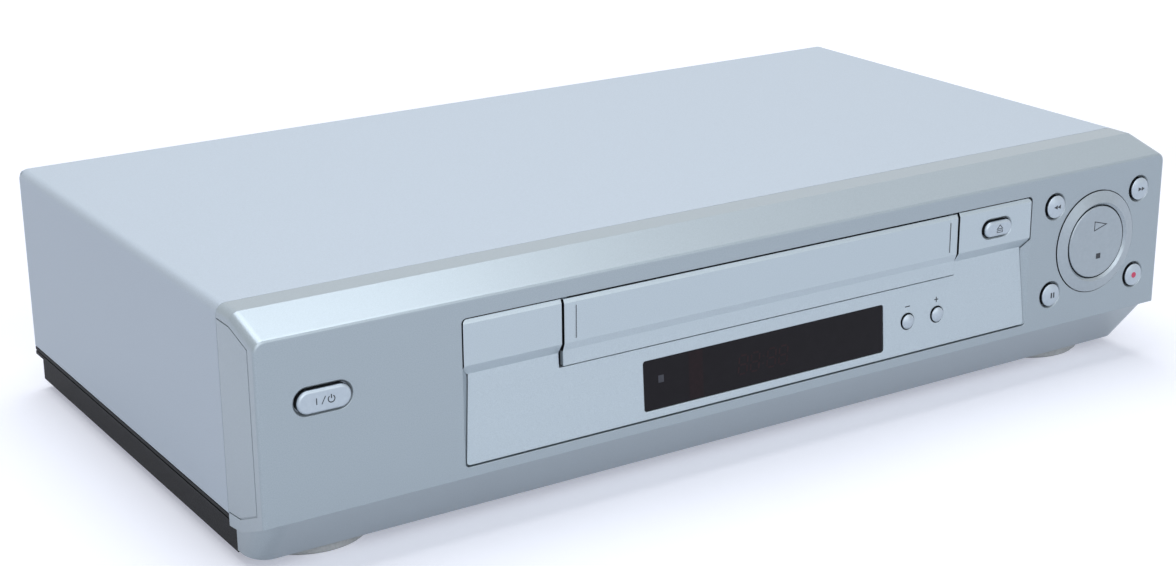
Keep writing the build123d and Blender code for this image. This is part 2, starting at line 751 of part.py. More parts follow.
with BuildPart() as cassette_flap:
    with BuildSketch(side_plane(flap_left)):
        with BuildLine():
            Polyline(
                (band_bevel[0], flap_top), (0, flap_top - band_bevel[1]), (0, band_bottom),
                (flap_lip_depth, band_bottom - flap_lip_drop), (flap_lip_depth - 0.2, flap_lip_bottom),
            )
            offset(amount=flap_wall, side=Side.LEFT, kind=Kind.INTERSECTION)
        make_face()
    extrude(amount=flap_right - flap_left)
    # Arms that rise behind the fascia to the pins.
    arm_front = flap_pivot_depth - arm_radius
    arm_back = flap_pivot_depth + arm_radius
    arm_root = flap_wall / 2
    for end, inward in ((flap_left + 0.4, 1), (flap_right - 0.4, -1)):
        with BuildSketch(side_plane(end)):
            with BuildLine():
                Polyline(
                    (arm_root, flap_top - 8), (arm_back, flap_top - 5), (arm_back, flap_pivot_height),
                    (arm_front, flap_pivot_height), (arm_front, flap_top - 1.5),
                    (arm_root, flap_top - 1.5), close=True,
                )
            make_face()
            with Locations((flap_pivot_depth, flap_pivot_height)):
                Circle(arm_radius)
        extrude(amount=inward * arm_width)
    # Pins through the cheeks; the left one is long enough to carry the return spring.
    pin_reach = cheek_wall + flap_gap + 0.6
    spring_room = spring_length + 1.4
    for end, outward, reach in (
        (flap_left + 1.4, -1, pin_reach + spring_room), (flap_right - 1.4, 1, pin_reach),
    ):
        with BuildSketch(side_plane(end)):
            with Locations((flap_pivot_depth, flap_pivot_height)):
                Circle(pin_radius)
        extrude(amount=outward * (reach + 1.4))
    # Fine rib lines near both ends of the face.
    rib_middle = (flap_top - band_bevel[1] + band_bottom) / 2
    with BuildSketch(face_plane(0)):
        with Locations((flap_left + 5.0, rib_middle), (flap_right - 4.0, rib_middle)):
            Rectangle(rib_line[0], rib_height)
    extrude(amount=-rib_line[1], mode=Mode.SUBTRACT)
cassette_flap.part.label = "cassette_flap"
export_step(cassette_flap.part, "parts/cassette_flap.step")

spring_start = mouth_left - cheek_wall - 0.8
with BuildPart() as flap_spring:
    # Torsion spring round the long pin, its tail hooked over the cheek.
    with BuildLine() as spring_line:
        Helix(
            pitch=spring_pitch, height=spring_length, radius=spring_coil,
            center=(spring_start, face_y + flap_pivot_depth, flap_pivot_height), direction=(-1, 0, 0),
        )
    with BuildSketch(Plane(origin=spring_line.line @ 0, z_dir=spring_line.line % 0)):
        Circle(spring_wire)
    sweep()
flap_spring.part.label = "flap_spring"
export_step(flap_spring.part, "parts/flap_spring.step")

# ================================================================== CONTROLS
with BuildPart() as control_ring:
    # Turned section: cone outside, crest, flared bore, and a flange behind the fascia's wall.
    bore_at = ring_height + ring_bore
    rim_at = ring_height + ring_radius
    with BuildSketch(side_plane(ring_x)):
        with BuildLine():
            Polyline(
                (-ring_proud, bore_at + ring_crest[0]), (-joint_gap, rim_at), (plastic + 0.2, rim_at),
                (plastic + 0.2, rim_at + ring_flange), (plastic + 1.6, rim_at + ring_flange),
                (plastic + 1.6, bore_at), (-ring_proud + ring_crest[1], bore_at), close=True,
            )
        make_face()
    revolve(axis=Axis((ring_x, face_y, ring_height), (0, 1, 0)))
control_ring.part.label = "control_ring"
export_step(control_ring.part, "parts/control_ring.step")

with BuildPart() as play_stop_button:
    # Rocking disc with a shallow dome, a rear collar and one foot for each switch.
    rocker_front = -ring_proud + rocker_sunk
    with BuildSketch(face_plane(rocker_front)):
        with Locations((ring_x, ring_height)):
            Circle(rocker_radius)
    extrude(amount=-(plastic + 1.2 - rocker_front))
    rocker_rim = [edge for edge in play_stop_button.edges() if edge.center().Y < face_y + rocker_front + 0.01]
    fillet(rocker_rim, radius=0.6)
    with BuildSketch(face_plane(plastic + 1.2)):
        with Locations((ring_x, ring_height + rocker_foot), (ring_x, ring_height - rocker_foot)):
            Circle(stem_radius)
    extrude(amount=-(stem_end - plastic - 1.2))
    # Trunnion bar on the rocking axis.
    with BuildSketch(side_plane(ring_x)):
        with Locations((plastic + 3.2, ring_height)):
            Circle(1.2)
    extrude(amount=rocker_radius - 1, both=True)
    with BuildSketch(face_plane(plastic + 1.0)):
        with Locations((ring_x, ring_height)):
            Rectangle(8, 2.0)
    extrude(amount=-1.6)
play_stop_button.part.label = "play_stop_button"
export_step(play_stop_button.part, "parts/play_stop_button.step")

channel_wall_end = channel_front + panel_wall + 1.0
round_buttons = {
    "rewind_button": (small_places[1], small_radius, 0.0, plastic),
    "fast_forward_button": (small_places[3], small_radius, 0.0, plastic),
    "pause_button": (small_places[0], small_radius, 0.0, plastic),
    "record_button": (small_places[2], small_radius, 0.0, plastic),
    "channel_down_button": ((channel_down_x, channel_height), channel_radius, channel_front,
                            channel_wall_end),
    "channel_up_button": ((channel_up_x, channel_height), channel_radius, channel_front,
                          channel_wall_end),
}
for name, (place, radius, front, wall_end) in round_buttons.items():
    with BuildPart() as button:
        # Turned cap with a swelling face, then its collar and stem.
        crown_depth = front - cap_proud
        collar_front = wall_end + collar_gap
        with BuildSketch(side_plane(place[0])):
            with BuildLine():
                swell = TangentArc(
                    (crown_depth, place[1]), (crown_depth + cap_dome, place[1] + radius), tangent=(0, 1)
                )
                Polyline(
                    swell @ 1, (collar_front, place[1] + radius),
                    (collar_front, place[1] + radius + collar_reach),
                    (collar_front + collar, place[1] + radius + collar_reach),
                    (collar_front + collar, place[1] + stem_radius), (stem_end, place[1] + stem_radius),
                    (stem_end, place[1]), swell @ 0,
                )
            make_face()
        revolve(axis=Axis((place[0], face_y, place[1]), (0, 1, 0)))
        crown = [
            edge for edge in button.edges()
            if abs(edge.center().Y - face_y - crown_depth - cap_dome) < 0.01
            and edge.bounding_box().size.X > radius
        ]
        fillet(crown, radius=cap_round)
    button.part.label = name
    export_step(button.part, f"parts/{name}.step")

pill_buttons = {
    "power_button": (power_at, power_size, plastic),
    "eject_button": (eject_at, eject_size, panel_wall),
}
for name, (place, size, wall_end) in pill_buttons.items():
    with BuildPart() as button:
        collar_front = wall_end + collar_gap
        with BuildSketch(face_plane(-cap_proud)):
            with Locations(place):
                SlotOverall(*size)
        extrude(amount=-(collar_front + cap_proud))
        crown = [edge for edge in button.edges() if edge.center().Y < face_y - cap_proud + 0.01]
        fillet(crown, radius=cap_proud * 0.8)
        with BuildSketch(face_plane(collar_front)):
            with Locations(place):
                SlotOverall(size[0] + 2 * collar_reach, size[1] + 2 * collar_reach)
        extrude(amount=-collar)
        with BuildSketch(face_plane(collar_front + collar)):
            with Locations(place):
                Circle(stem_radius)
        extrude(amount=-(stem_end - collar_front - collar))
    button.part.label = name
    export_step(button.part, f"parts/{name}.step")

switch_places = [
    power_at, eject_at, *small_places, (channel_down_x, channel_height), (channel_up_x, channel_height),
    (ring_x, ring_height + rocker_foot), (ring_x, ring_height - rocker_foot),
]
with BuildPart() as tact_switches:
    with BuildSketch(face_plane(front_board_depth)):
        with Locations(*switch_places):
            Rectangle(switch_size, switch_size)
    extrude(amount=switch_depth)
    with BuildSketch(face_plane(front_board_depth - switch_depth)):
        with Locations(*switch_places):
            Circle(plunger_radius)
    extrude(amount=plunger_length)
tact_switches.part.label = "tact_switches"
export_step(tact_switches.part, "parts/tact_switches.step")

# ================================================================== BOARDS
board_low = face_bottom + plastic
board_high = face_top - 4
board_side = half_width - plastic - 4
mouth_clear = mouth_bottom - cheek_wall - 0.8
with BuildPart() as front_board:
    # One board behind the fascia, cut away round the cassette mouth.
    with BuildSketch(face_plane(front_board_depth)):
        with Locations((0, (board_low + board_high) / 2)):
            Rectangle(2 * board_side, board_high - board_low)
        with Locations((mouth_middle, mouth_clear + 40)):
            Rectangle(mouth_width + 2 * cheek_wall + 2, 80, mode=Mode.SUBTRACT)
    extrude(amount=-board)
front_board.part.label = "front_board"
export_step(front_board.part, "parts/front_board.step")

with BuildPart() as display_tube:
    # Flat glass tube with its evacuation tip.
    tube_half_width = 0.4 * window_width
    tube_bottom = window_bottom - 0.5
    tube_top = window_top - 1.5
    with BuildSketch(face_plane(front_board_depth)):
        with Locations((mouth_middle, (tube_bottom + tube_top) / 2)):
            Rectangle(2 * tube_half_width, tube_top - tube_bottom)
    extrude(amount=4.6)
    with BuildSketch(side_plane(mouth_middle + tube_half_width)):
        with Locations((front_board_depth - 2.3, (tube_bottom + tube_top) / 2)):
            Circle(1.6)
    extrude(amount=4)
display_tube.part.label = "display_tube"
export_step(display_tube.part, "parts/display_tube.step")

pillar_hole = pillar_radius + 0.5
with BuildPart() as main_board:
    with BuildSketch(level(board_height)):
        with Locations(((main_left + main_right) / 2, (main_front + board_back) / 2)):
            Rectangle(main_right - main_left, board_back - main_front)
        with Locations(*pillars):
            Circle(pillar_hole, mode=Mode.SUBTRACT)
    extrude(amount=board)
main_board.part.label = "main_board"
export_step(main_board.part, "parts/main_board.step")

with BuildPart() as power_board:
    with BuildSketch(level(board_height)):
        with Locations(((power_left + power_right) / 2, (power_front + board_back) / 2)):
            Rectangle(power_right - power_left, board_back - power_front)
    extrude(amount=board)
power_board.part.label = "power_board"
export_step(power_board.part, "parts/power_board.step")

with BuildPart() as power_transformer:
    # Switching transformer: ferrite yoke round a taped winding.
    transformer_at = (power_right - 26, board_back - 46)
    with BuildSketch(level(board_top)):
        with Locations(transformer_at):
            Rectangle(30, 12)
    extrude(amount=26)
    with BuildSketch(level(board_top + 5)):
        with Locations(transformer_at):
            RectangleRounded(23, 26, 4)
    extrude(amount=16)
power_transformer.part.label = "power_transformer"
export_step(power_transformer.part, "parts/power_transformer.step")

with BuildPart() as smoothing_capacitors:
    large_at = (power_left + 24, power_front + 44)
    small_at = [(power_right - 12, power_front + 14 + 15 * step) for step in range(3)]
    with BuildSketch(level(board_top)):
        with Locations(large_at):
            Circle(11)
    extrude(amount=30)
    with BuildSketch(level(board_top)):
        with Locations(*small_at):
            Circle(5)
    extrude(amount=18)
smoothing_capacitors.part.label = "smoothing_capacitors"
export_step(smoothing_capacitors.part, "parts/smoothing_capacitors.step")

# ================================================================== SOCKETS
with BuildPart() as mains_inlet:
    # Two-pin inlet: a block with a rounded recess open to the back, and a foot on the power board.
    inlet_back = case_depth + 0.2
    inlet_front = panel_front - 16
    inlet_bottom = inlet_at[1] - inlet_size[1] / 2
    inlet_pins = [(inlet_at[0] + side * inlet_pin_spread, inlet_at[1]) for side in (-1, 1)]
    with BuildSketch(face_plane(inlet_back)):
        with Locations(inlet_at):
            Rectangle(*inlet_size)
    extrude(amount=inlet_back - inlet_front)
    with BuildSketch(face_plane(inlet_back)):
        with Locations(inlet_at):
            SlotOverall(*inlet_recess)
    extrude(amount=inlet_recess_depth, mode=Mode.SUBTRACT)
    with BuildSketch(face_plane(inlet_back - 1)):
        with Locations(*inlet_pins):
            Circle(inlet_pin_radius)
    extrude(amount=inlet_recess_depth)
    with BuildSketch(level(board_top)):
        with Locations((inlet_at[0], (inlet_front + panel_front) / 2 - 1)):
            Rectangle(inlet_size[0], panel_front - inlet_front - 3)
    extrude(amount=inlet_bottom - board_top + 0.5)
mains_inlet.part.label = "mains_inlet"
export_step(mains_inlet.part, "parts/mains_inlet.step")

with BuildPart() as scart_sockets:
    scart_front = panel_front - 14
    scart_back = case_depth + 1.0
    shell = 1.6
    with BuildSketch(face_plane(scart_back)):
        with Locations(*[(x, scart_centre_height) for x in scart_middles]):
            Rectangle(scart_width, scart_height)
    extrude(amount=scart_back - scart_front)
    # Groove between the metal shell and the contact block, two rows of contact slots, and a foot.
    with BuildSketch(face_plane(scart_back)):
        with Locations(*[(x, scart_centre_height) for x in scart_middles]):
            Rectangle(scart_width - 2 * shell, scart_height - 2 * shell)
            Rectangle(scart_width - 2 * shell - 3.2, scart_height - 2 * shell - 3.2, mode=Mode.SUBTRACT)
    extrude(amount=9, mode=Mode.SUBTRACT)
    with BuildSketch(face_plane(scart_back)):
        with Locations(*[(x, scart_centre_height) for x in scart_middles]):
            with GridLocations(3.8, 4.0, 10, 2):
                Rectangle(1.0, 2.4)
    extrude(amount=3, mode=Mode.SUBTRACT)
    with BuildSketch(level(board_top)):
        with Locations(*[(x, (scart_front + panel_front - 1) / 2) for x in scart_middles]):
            Rectangle(scart_width - 6, panel_front - 1 - scart_front)
    extrude(amount=1.5)
scart_sockets.part.label = "scart_sockets"
export_step(scart_sockets.part, "parts/scart_sockets.step")

with BuildPart() as phono_sockets:
    phono_top = phono_heights[1] + 6
    with BuildSketch(face_plane(panel_front - 0.4)):
        with Locations((phono_x, (board_top + phono_top) / 2)):
            Rectangle(11, phono_top - board_top)
    extrude(amount=11)
    with BuildSketch(face_plane(case_depth + 7)):
        with Locations(*[(phono_x, height) for height in phono_heights]):
            Circle(phono_radius)
    extrude(amount=case_depth + 7 - panel_front + 0.4)
    with BuildSketch(face_plane(case_depth + 7)):
        with Locations(*[(phono_x, height) for height in phono_heights]):
            Circle(1.6)
    extrude(amount=12, mode=Mode.SUBTRACT)
phono_sockets.part.label = "phono_sockets"
export_step(phono_sockets.part, "parts/phono_sockets.step")

can_width = 50.0
can_length = 46.0
can_height = 21.0
can_middle_x = (aerial_xs[0] + aerial_xs[1]) / 2
can_back = panel_front - 0.5
with BuildPart() as tuner_can:
    with BuildSketch(level(board_top)):
        with Locations((can_middle_x, can_back - can_length / 2)):
            Rectangle(can_width, can_length)
    extrude(amount=can_height)
tuner_can.part.label = "tuner_can"
export_step(tuner_can.part, "parts/tuner_can.step")

with BuildPart() as aerial_sockets:
    # Coaxial sockets: a hollow barrel with its centre contact.
    barrel = case_depth + aerial_reach - can_back
    with BuildSketch(face_plane(case_depth + aerial_reach)):
        with Locations(*[(x, aerial_height) for x in aerial_xs]):
            Circle(aerial_radius)
    extrude(amount=barrel)
    with BuildSketch(face_plane(case_depth + aerial_reach)):
        with Locations(*[(x, aerial_height) for x in aerial_xs]):
            Circle(aerial_radius - 0.7)
    extrude(amount=barrel - 2, mode=Mode.SUBTRACT)
    with BuildSketch(face_plane(case_depth + aerial_reach - 2)):
        with Locations(*[(x, aerial_height) for x in aerial_xs]):
            Circle(1.2)
    extrude(amount=barrel - 2)
aerial_sockets.part.label = "aerial_sockets"
export_step(aerial_sockets.part, "parts/aerial_sockets.step")

# ================================================================== TAPE DECK, FIXED PIECES
deck_middle = mouth_middle
clutch_depth = 108.3
clutch_radius = 9.0
shaft_radius = 2.5
idler_radius = 20.0
reel_middles = [(deck_middle - reel_spacing / 2, reel_depth), (deck_middle + reel_spacing / 2, reel_depth)]
pinch_pivot = (capstan_x + 22, capstan_depth - 11)
pinch_arm_length = 19.2
pinch_rest_angle = 212.0
pinch_radius = 7.0
tension_pivot = (deck_middle - 76, 128.0)
tension_arm_length = 19.0
tension_rest_angle = -25.0
spindle_radius = 1.5
guide_run = hypot(guide_end[0] - guide_start[0], guide_end[1] - guide_start[1])
guide_lean = degrees(atan2(guide_end[0] - guide_start[0], guide_end[1] - guide_start[1]))
slot_width = 4.4
rotor_radius = 20.0
drum_plane = Plane(
    origin=(deck_middle, face_y + drum_depth, deck_top + 5.0), x_dir=(1, 0, 0),
    z_dir=(0, sin(radians(drum_tilt)), cos(radians(drum_tilt))),
)

with BuildPart() as deck_plate:
    with BuildSketch(level(deck_under)):
        with Locations((deck_middle, (deck_front + deck_back) / 2)):
            Rectangle(2 * deck_half_width, deck_back - deck_front)
        # Holes for the drum rotor, the capstan bearing, the clutch shaft and the deck screws.
        with Locations((deck_middle, drum_depth)):
            Circle(rotor_radius + 1.3, mode=Mode.SUBTRACT)
        with Locations((capstan_x, capstan_depth)):
            Circle(bearing_radius + 0.2, mode=Mode.SUBTRACT)
        with Locations((deck_middle, clutch_depth)):
            Circle(shaft_radius + running_fit, mode=Mode.SUBTRACT)
        with Locations(*pillars):
            Circle(screw_hole, mode=Mode.SUBTRACT)
    extrude(amount=deck_sheet)
    # Staked spindles and pivots that stand on the plate.
    with BuildSketch(level(deck_top)):
        with Locations(*reel_middles):
            Circle(spindle_radius)
    extrude(amount=14)
    with BuildSketch(level(deck_top)):
        with Locations(pinch_pivot, tension_pivot):
            Circle(spindle_radius)
    extrude(amount=9)
    # Cam gear stub under the plate.
    with BuildSketch(level(deck_under)):
        with Locations((cam_x, cam_depth)):
            Circle(2.0)
    extrude(amount=-13)
deck_plate.part.label = "deck_plate"
export_step(deck_plate.part, "parts/deck_plate.step")

with BuildPart() as screws:
    # Identical cross-headed screws: three hold the cover at the back, four hold the deck plate down.
    arm, arm_width, cut = screw_slot
    for plane, places in (
        (back_plane(case_depth), [(-x, screw_height) for x in screw_xs]),
        (level(deck_top), pillars),
    ):
        with BuildSketch(plane):
            with Locations(*places):
                Circle(screw_head_radius)
        extrude(amount=screw_head)
        with BuildSketch(plane):
            with Locations(*places):
                Circle(screw_radius)
        extrude(amount=-screw_length)
        with BuildSketch(plane.offset(screw_head - cut)):
            with Locations(*places):
                Rectangle(arm, arm_width)
                Rectangle(arm_width, arm)
        extrude(amount=2 * cut, mode=Mode.SUBTRACT)
screws.part.label = "screws"
export_step(screws.part, "parts/screws.step")

with BuildPart() as drum_base:
    # Cast ring whose top is cut at the drum's tilt.
    with BuildSketch(level(deck_top)):
        with Locations((deck_middle, drum_depth)):
            Circle(drum_radius + 2)
            Circle(rotor_radius + 1, mode=Mode.SUBTRACT)
    extrude(amount=14)
    split(bisect_by=drum_plane.offset(-0.05), keep=Keep.BOTTOM)
drum_base.part.label = "drum_base"
export_step(drum_base.part, "parts/drum_base.step")

drum_shaft_radius = 2.0
with BuildPart() as lower_drum:
    with BuildSketch(drum_plane):
        Circle(drum_radius)
    extrude(amount=drum_height)
    with BuildSketch(drum_plane.offset(drum_height - 5)):
        Circle(drum_radius - 3)
        Circle(7, mode=Mode.SUBTRACT)
    extrude(amount=6, mode=Mode.SUBTRACT)
    # Bearing boss through the middle, down into the base ring.
    with BuildSketch(drum_plane.offset(-4)):
        Circle(6)
    extrude(amount=5)
    with BuildSketch(drum_plane.offset(-5)):
        Circle(drum_shaft_radius + running_fit)
    extrude(amount=drum_height + 6, mode=Mode.SUBTRACT)
    # Ledge step that guides the tape's lower edge.
    with BuildSketch(drum_plane):
        Circle(drum_radius + 1)
        Circle(drum_radius - 0.5, mode=Mode.SUBTRACT)
    extrude(amount=4)
lower_drum.part.label = "lower_drum"
export_step(lower_drum.part, "parts/lower_drum.step")

with BuildPart() as upper_drum:
    # Upper drum on its shaft, with two head chips at its lower edge.
    with BuildSketch(drum_plane.offset(drum_height + drum_gap)):
        Circle(drum_radius)
    extrude(amount=drum_height)
    with BuildSketch(drum_plane.offset(drum_height + drum_gap)):
        with PolarLocations(drum_radius - 3.0, 2):
            Rectangle(6.4, 4)
    extrude(amount=3, mode=Mode.SUBTRACT)
    with BuildSketch(drum_plane.offset(drum_height + drum_gap)):
        with PolarLocations(drum_radius - 3.0, 2):
            Rectangle(6.1, 1.4)
    extrude(amount=3.2)
    with BuildSketch(drum_plane.offset(2 * drum_height + drum_gap - 2)):
        Circle(drum_radius - 5)
        Circle(9, mode=Mode.SUBTRACT)
    extrude(amount=3, mode=Mode.SUBTRACT)
    with BuildSketch(drum_plane.offset(-14)):
        Circle(drum_shaft_radius)
    extrude(amount=14 + 2 * drum_height + drum_gap)
upper_drum.part.label = "upper_drum"
export_step(upper_drum.part, "parts/upper_drum.step")

with BuildPart() as drum_rotor:
    # Flat motor rotor pinned on the shaft under the plate.
    with BuildSketch(drum_plane.offset(-13.5)):
        Circle(rotor_radius)
        Circle(drum_shaft_radius + 0.03, mode=Mode.SUBTRACT)
    extrude(amount=4)
    with BuildSketch(drum_plane.offset(-9.5)):
        Circle(6)
        Circle(drum_shaft_radius + 0.03, mode=Mode.SUBTRACT)
    extrude(amount=3)
drum_rotor.part.label = "drum_rotor"
export_step(drum_rotor.part, "parts/drum_rotor.step")

rail_top = deck_top + 2.0
with BuildPart() as guide_rails:
    # A slotted rail on each side of the drum.
    for side in (-1, 1):
        middle = (
            deck_middle + side * (guide_start[0] + guide_end[0]) / 2, (guide_start[1] + guide_end[1]) / 2,
        )
        with BuildSketch(level(deck_top)):
            with Locations(Location((middle[0], middle[1]), -side * guide_lean)):
                Rectangle(12, guide_run + 14)
                SlotOverall(guide_run + slot_width + 1.0, slot_width, rotation=90, mode=Mode.SUBTRACT)
        extrude(amount=rail_top - deck_top)
guide_rails.part.label = "guide_rails"
export_step(guide_rails.part, "parts/guide_rails.step")

for name, side in (("supply_guide", -1), ("takeup_guide", 1)):
    with BuildPart() as guide:
        # Sliding block with its key in the slot, an upright post with flanges and a leaning pole.
        start = (deck_middle + side * guide_start[0], guide_start[1])
        with BuildSketch(level(rail_top + 0.2)):
            with Locations(Location(start, -side * guide_lean)):
                RectangleRounded(12, 12, 2)
        extrude(amount=4)
        with BuildSketch(level(deck_top + 0.2)):
            with Locations(start):
                Circle(slot_width / 2 - 0.2)
        extrude(amount=2.4)
        with BuildSketch(level(rail_top + 4)):
            with Locations((start[0] + side * 2.2, start[1] + 2)):
                Circle(2.6)
        extrude(amount=post_top - rail_top - 4)
        with BuildSketch(level(post_top - 3)):
            with Locations((start[0] + side * 2.2, start[1] + 2)):
                Circle(3.4)
        extrude(amount=1.0)
        with BuildSketch(level(rail_top + 4)):
            with Locations((start[0] - side * 3.2, start[1] - 2.6)):
                Circle(1.2)
        extrude(amount=post_top - rail_top - 6)
    guide.part.label = name
    export_step(guide.part, f"parts/{name}.step")

roller_low = deck_top + arm_height + 1.2
with BuildPart() as capstan_housing:
    # Bearing tube that ends under the pinch roller, its flange under the plate, and the stator winding.
    with BuildSketch(level(deck_under - bearing_drop)):
        with Locations((capstan_x, capstan_depth)):
            Circle(bearing_radius)
    extrude(amount=roller_low - bearing_gap - deck_under + bearing_drop)
    with BuildSketch(level(deck_under)):
        with Locations((capstan_x, capstan_depth)):
            Circle(bearing_radius + 3)
    extrude(amount=-2)
    with BuildSketch(level(deck_under - bearing_drop + 0.5)):
        with Locations((capstan_x, capstan_depth)):
            Circle(flywheel_radius - 4)
            with PolarLocations(flywheel_radius - 7.5, 8):
                Circle(1.6, mode=Mode.SUBTRACT)
    extrude(amount=3.5)
    with BuildSketch(level(deck_under - bearing_drop - 1)):
        with Locations((capstan_x, capstan_depth)):
            Circle(capstan_radius + running_fit)
    extrude(amount=roller_low - deck_under + bearing_drop + 1, mode=Mode.SUBTRACT)
capstan_housing.part.label = "capstan_housing"
export_step(capstan_housing.part, "parts/capstan_housing.step")

pulley_low = 16.0
pulley_height = 4.0
capstan_pulley_radius = 8.0
clutch_pulley_radius = 13.0
with BuildPart() as capstan:
    # Shaft, cupped flywheel and belt pulley, pressed up as one.
    with BuildSketch(level(pulley_low)):
        with Locations((capstan_x, capstan_depth)):
            Circle(capstan_radius)
    extrude(amount=post_top + 2 - pulley_low)
    with BuildSketch(level(pulley_low)):
        with Locations((capstan_x, capstan_depth)):
            Circle(capstan_pulley_radius)
    extrude(amount=pulley_height)
    with BuildSketch(level(pulley_low + pulley_height)):
        with Locations((capstan_x, capstan_depth)):
            Circle(flywheel_radius)
    extrude(amount=10)
    with BuildSketch(level(pulley_low + pulley_height + 3)):
        with Locations((capstan_x, capstan_depth)):
            Circle(flywheel_radius - 2)
            Circle(capstan_radius, mode=Mode.SUBTRACT)
    extrude(amount=10, mode=Mode.SUBTRACT)
capstan.part.label = "capstan"
export_step(capstan.part, "parts/capstan.step")

gear_low = deck_top + 0.8


def gear_outline(radius, teeth, bore):
    """Flat gear: a disc with square teeth round it and a bore."""
    Circle(radius)
    with PolarLocations(radius + tooth / 2 - 0.1, teeth):
        Rectangle(tooth + 0.2, tooth * 1.1)
    Circle(bore, mode=Mode.SUBTRACT)


with BuildPart() as clutch_pulley:
    # Belt pulley under the plate, shaft through it and gear above it.
    with BuildSketch(level(pulley_low)):
        with Locations((deck_middle, clutch_depth)):
            Circle(clutch_pulley_radius)
    extrude(amount=pulley_height)
    with BuildSketch(level(pulley_low)):
        with Locations((deck_middle, clutch_depth)):
            Circle(shaft_radius)
    extrude(amount=deck_top + 6 - pulley_low)
    with BuildSketch(level(gear_low)):
        with Locations((deck_middle, clutch_depth)):
            gear_outline(clutch_radius - tooth, clutch_teeth, shaft_radius)
    extrude(amount=reel_gear_height)
clutch_pulley.part.label = "clutch_pulley"
export_step(clutch_pulley.part, "parts/clutch_pulley.step")

belt_gap = 0.3
belt_thick = 0.9
with BuildPart() as drive_belt:
    with BuildSketch(level(pulley_low + 0.8)):
        with Locations((capstan_x, capstan_depth)):
            Circle(capstan_pulley_radius + belt_gap + belt_thick)
        with Locations((deck_middle, clutch_depth)):
            Circle(clutch_pulley_radius + belt_gap + belt_thick)
        make_hull()
        offset(amount=-belt_thick, mode=Mode.SUBTRACT)
    extrude(amount=pulley_height - 1.6)
drive_belt.part.label = "drive_belt"
export_step(drive_belt.part, "parts/drive_belt.step")

# ================================================================== TAPE DECK, TURNING PIECES
for name, place in (("supply_reel", reel_middles[0]), ("takeup_reel", reel_middles[1])):
    with BuildPart() as reel:
        with BuildSketch(level(gear_low)):
            with Locations(place):
                gear_outline(reel_radius, reel_teeth, spindle_radius + running_fit)
        extrude(amount=reel_gear_height)
        with BuildSketch(level(gear_low + reel_gear_height)):
            with Locations(place):
                Circle(4.6)
                with PolarLocations(4.6, 6):
                    Rectangle(2.4, 1.2)
                Circle(spindle_radius + running_fit, mode=Mode.SUBTRACT)
        extrude(amount=11)
    reel.part.label = name
    export_step(reel.part, f"parts/{name}.step")

with BuildPart() as idler_arm:
    # Arm that hangs from the clutch shaft and carries the idler's pin.
    arm_low = gear_low + reel_gear_height + 0.4
    idler_depth = clutch_depth - clutch_radius - idler_radius - 0.3
    with BuildSketch(level(arm_low)):
        with Locations((deck_middle, clutch_depth)):
            Circle(5)
        with Locations((deck_middle, idler_depth)):
            Circle(4)
        make_hull()
        with Locations((deck_middle, clutch_depth)):
            Circle(shaft_radius + running_fit, mode=Mode.SUBTRACT)
    extrude(amount=1.2)
    with BuildSketch(level(gear_low)):
        with Locations((deck_middle, idler_depth)):
            Circle(spindle_radius)
    extrude(amount=arm_low - gear_low)
idler_arm.part.label = "idler_arm"
export_step(idler_arm.part, "parts/idler_arm.step")

with BuildPart() as idler_gear:
    with BuildSketch(level(gear_low)):
        with Locations((deck_middle, idler_depth)):
            gear_outline(idler_radius - tooth, idler_teeth, spindle_radius + running_fit)
    extrude(amount=reel_gear_height)
idler_gear.part.label = "idler_gear"
export_step(idler_gear.part, "parts/idler_gear.step")

pinch_tip = (
    pinch_pivot[0] + pinch_arm_length * cos(radians(pinch_rest_angle)),
    pinch_pivot[1] + pinch_arm_length * sin(radians(pinch_rest_angle)),
)
with BuildPart() as pinch_arm:
    with BuildSketch(level(deck_top + 0.4)):
        with Locations(pinch_pivot):
            Circle(4)
        with Locations(pinch_tip):
            Circle(3.4)
        make_hull()
        with Locations(pinch_pivot):
            Circle(spindle_radius + running_fit, mode=Mode.SUBTRACT)
    extrude(amount=arm_height)
    with BuildSketch(level(deck_top + 0.4 + arm_height)):
        with Locations(pinch_pivot):
            Circle(3.4)
            Circle(spindle_radius + running_fit, mode=Mode.SUBTRACT)
    extrude(amount=4.5)
    with BuildSketch(level(deck_top + 0.4 + arm_height)):
        with Locations(pinch_tip):
            Circle(1.6)
    extrude(amount=post_top - 0.5 - deck_top - 0.4 - arm_height)
pinch_arm.part.label = "pinch_arm"
export_step(pinch_arm.part, "parts/pinch_arm.step")

with BuildPart() as pinch_roller:
    with BuildSketch(level(roller_low)):
        with Locations(pinch_tip):
            Circle(pinch_radius)
            Circle(1.6 + running_fit, mode=Mode.SUBTRACT)
    extrude(amount=post_top - 2 - roller_low)
pinch_roller.part.label = "pinch_roller"
export_step(pinch_roller.part, "parts/pinch_roller.step")

tension_tip = (
    tension_pivot[0] + tension_arm_length * cos(radians(tension_rest_angle)),
    tension_pivot[1] + tension_arm_length * sin(radians(tension_rest_angle)),
)
with BuildPart() as tension_arm:
    with BuildSketch(level(deck_top + 0.4)):
        with Locations(tension_pivot):
            Circle(3.5)
        with Locations(tension_tip):
            Circle(2.4)
        make_hull()
        with Locations(tension_pivot):
            Circle(spindle_radius + running_fit, mode=Mode.SUBTRACT)
    extrude(amount=2)
    with BuildSketch(level(deck_top + 2.4)):
        with Locations(tension_tip):
            Circle(1.5)
    extrude(amount=post_top - deck_top - 2.4)
tension_arm.part.label = "tension_arm"
export_step(tension_arm.part, "parts/tension_arm.step")

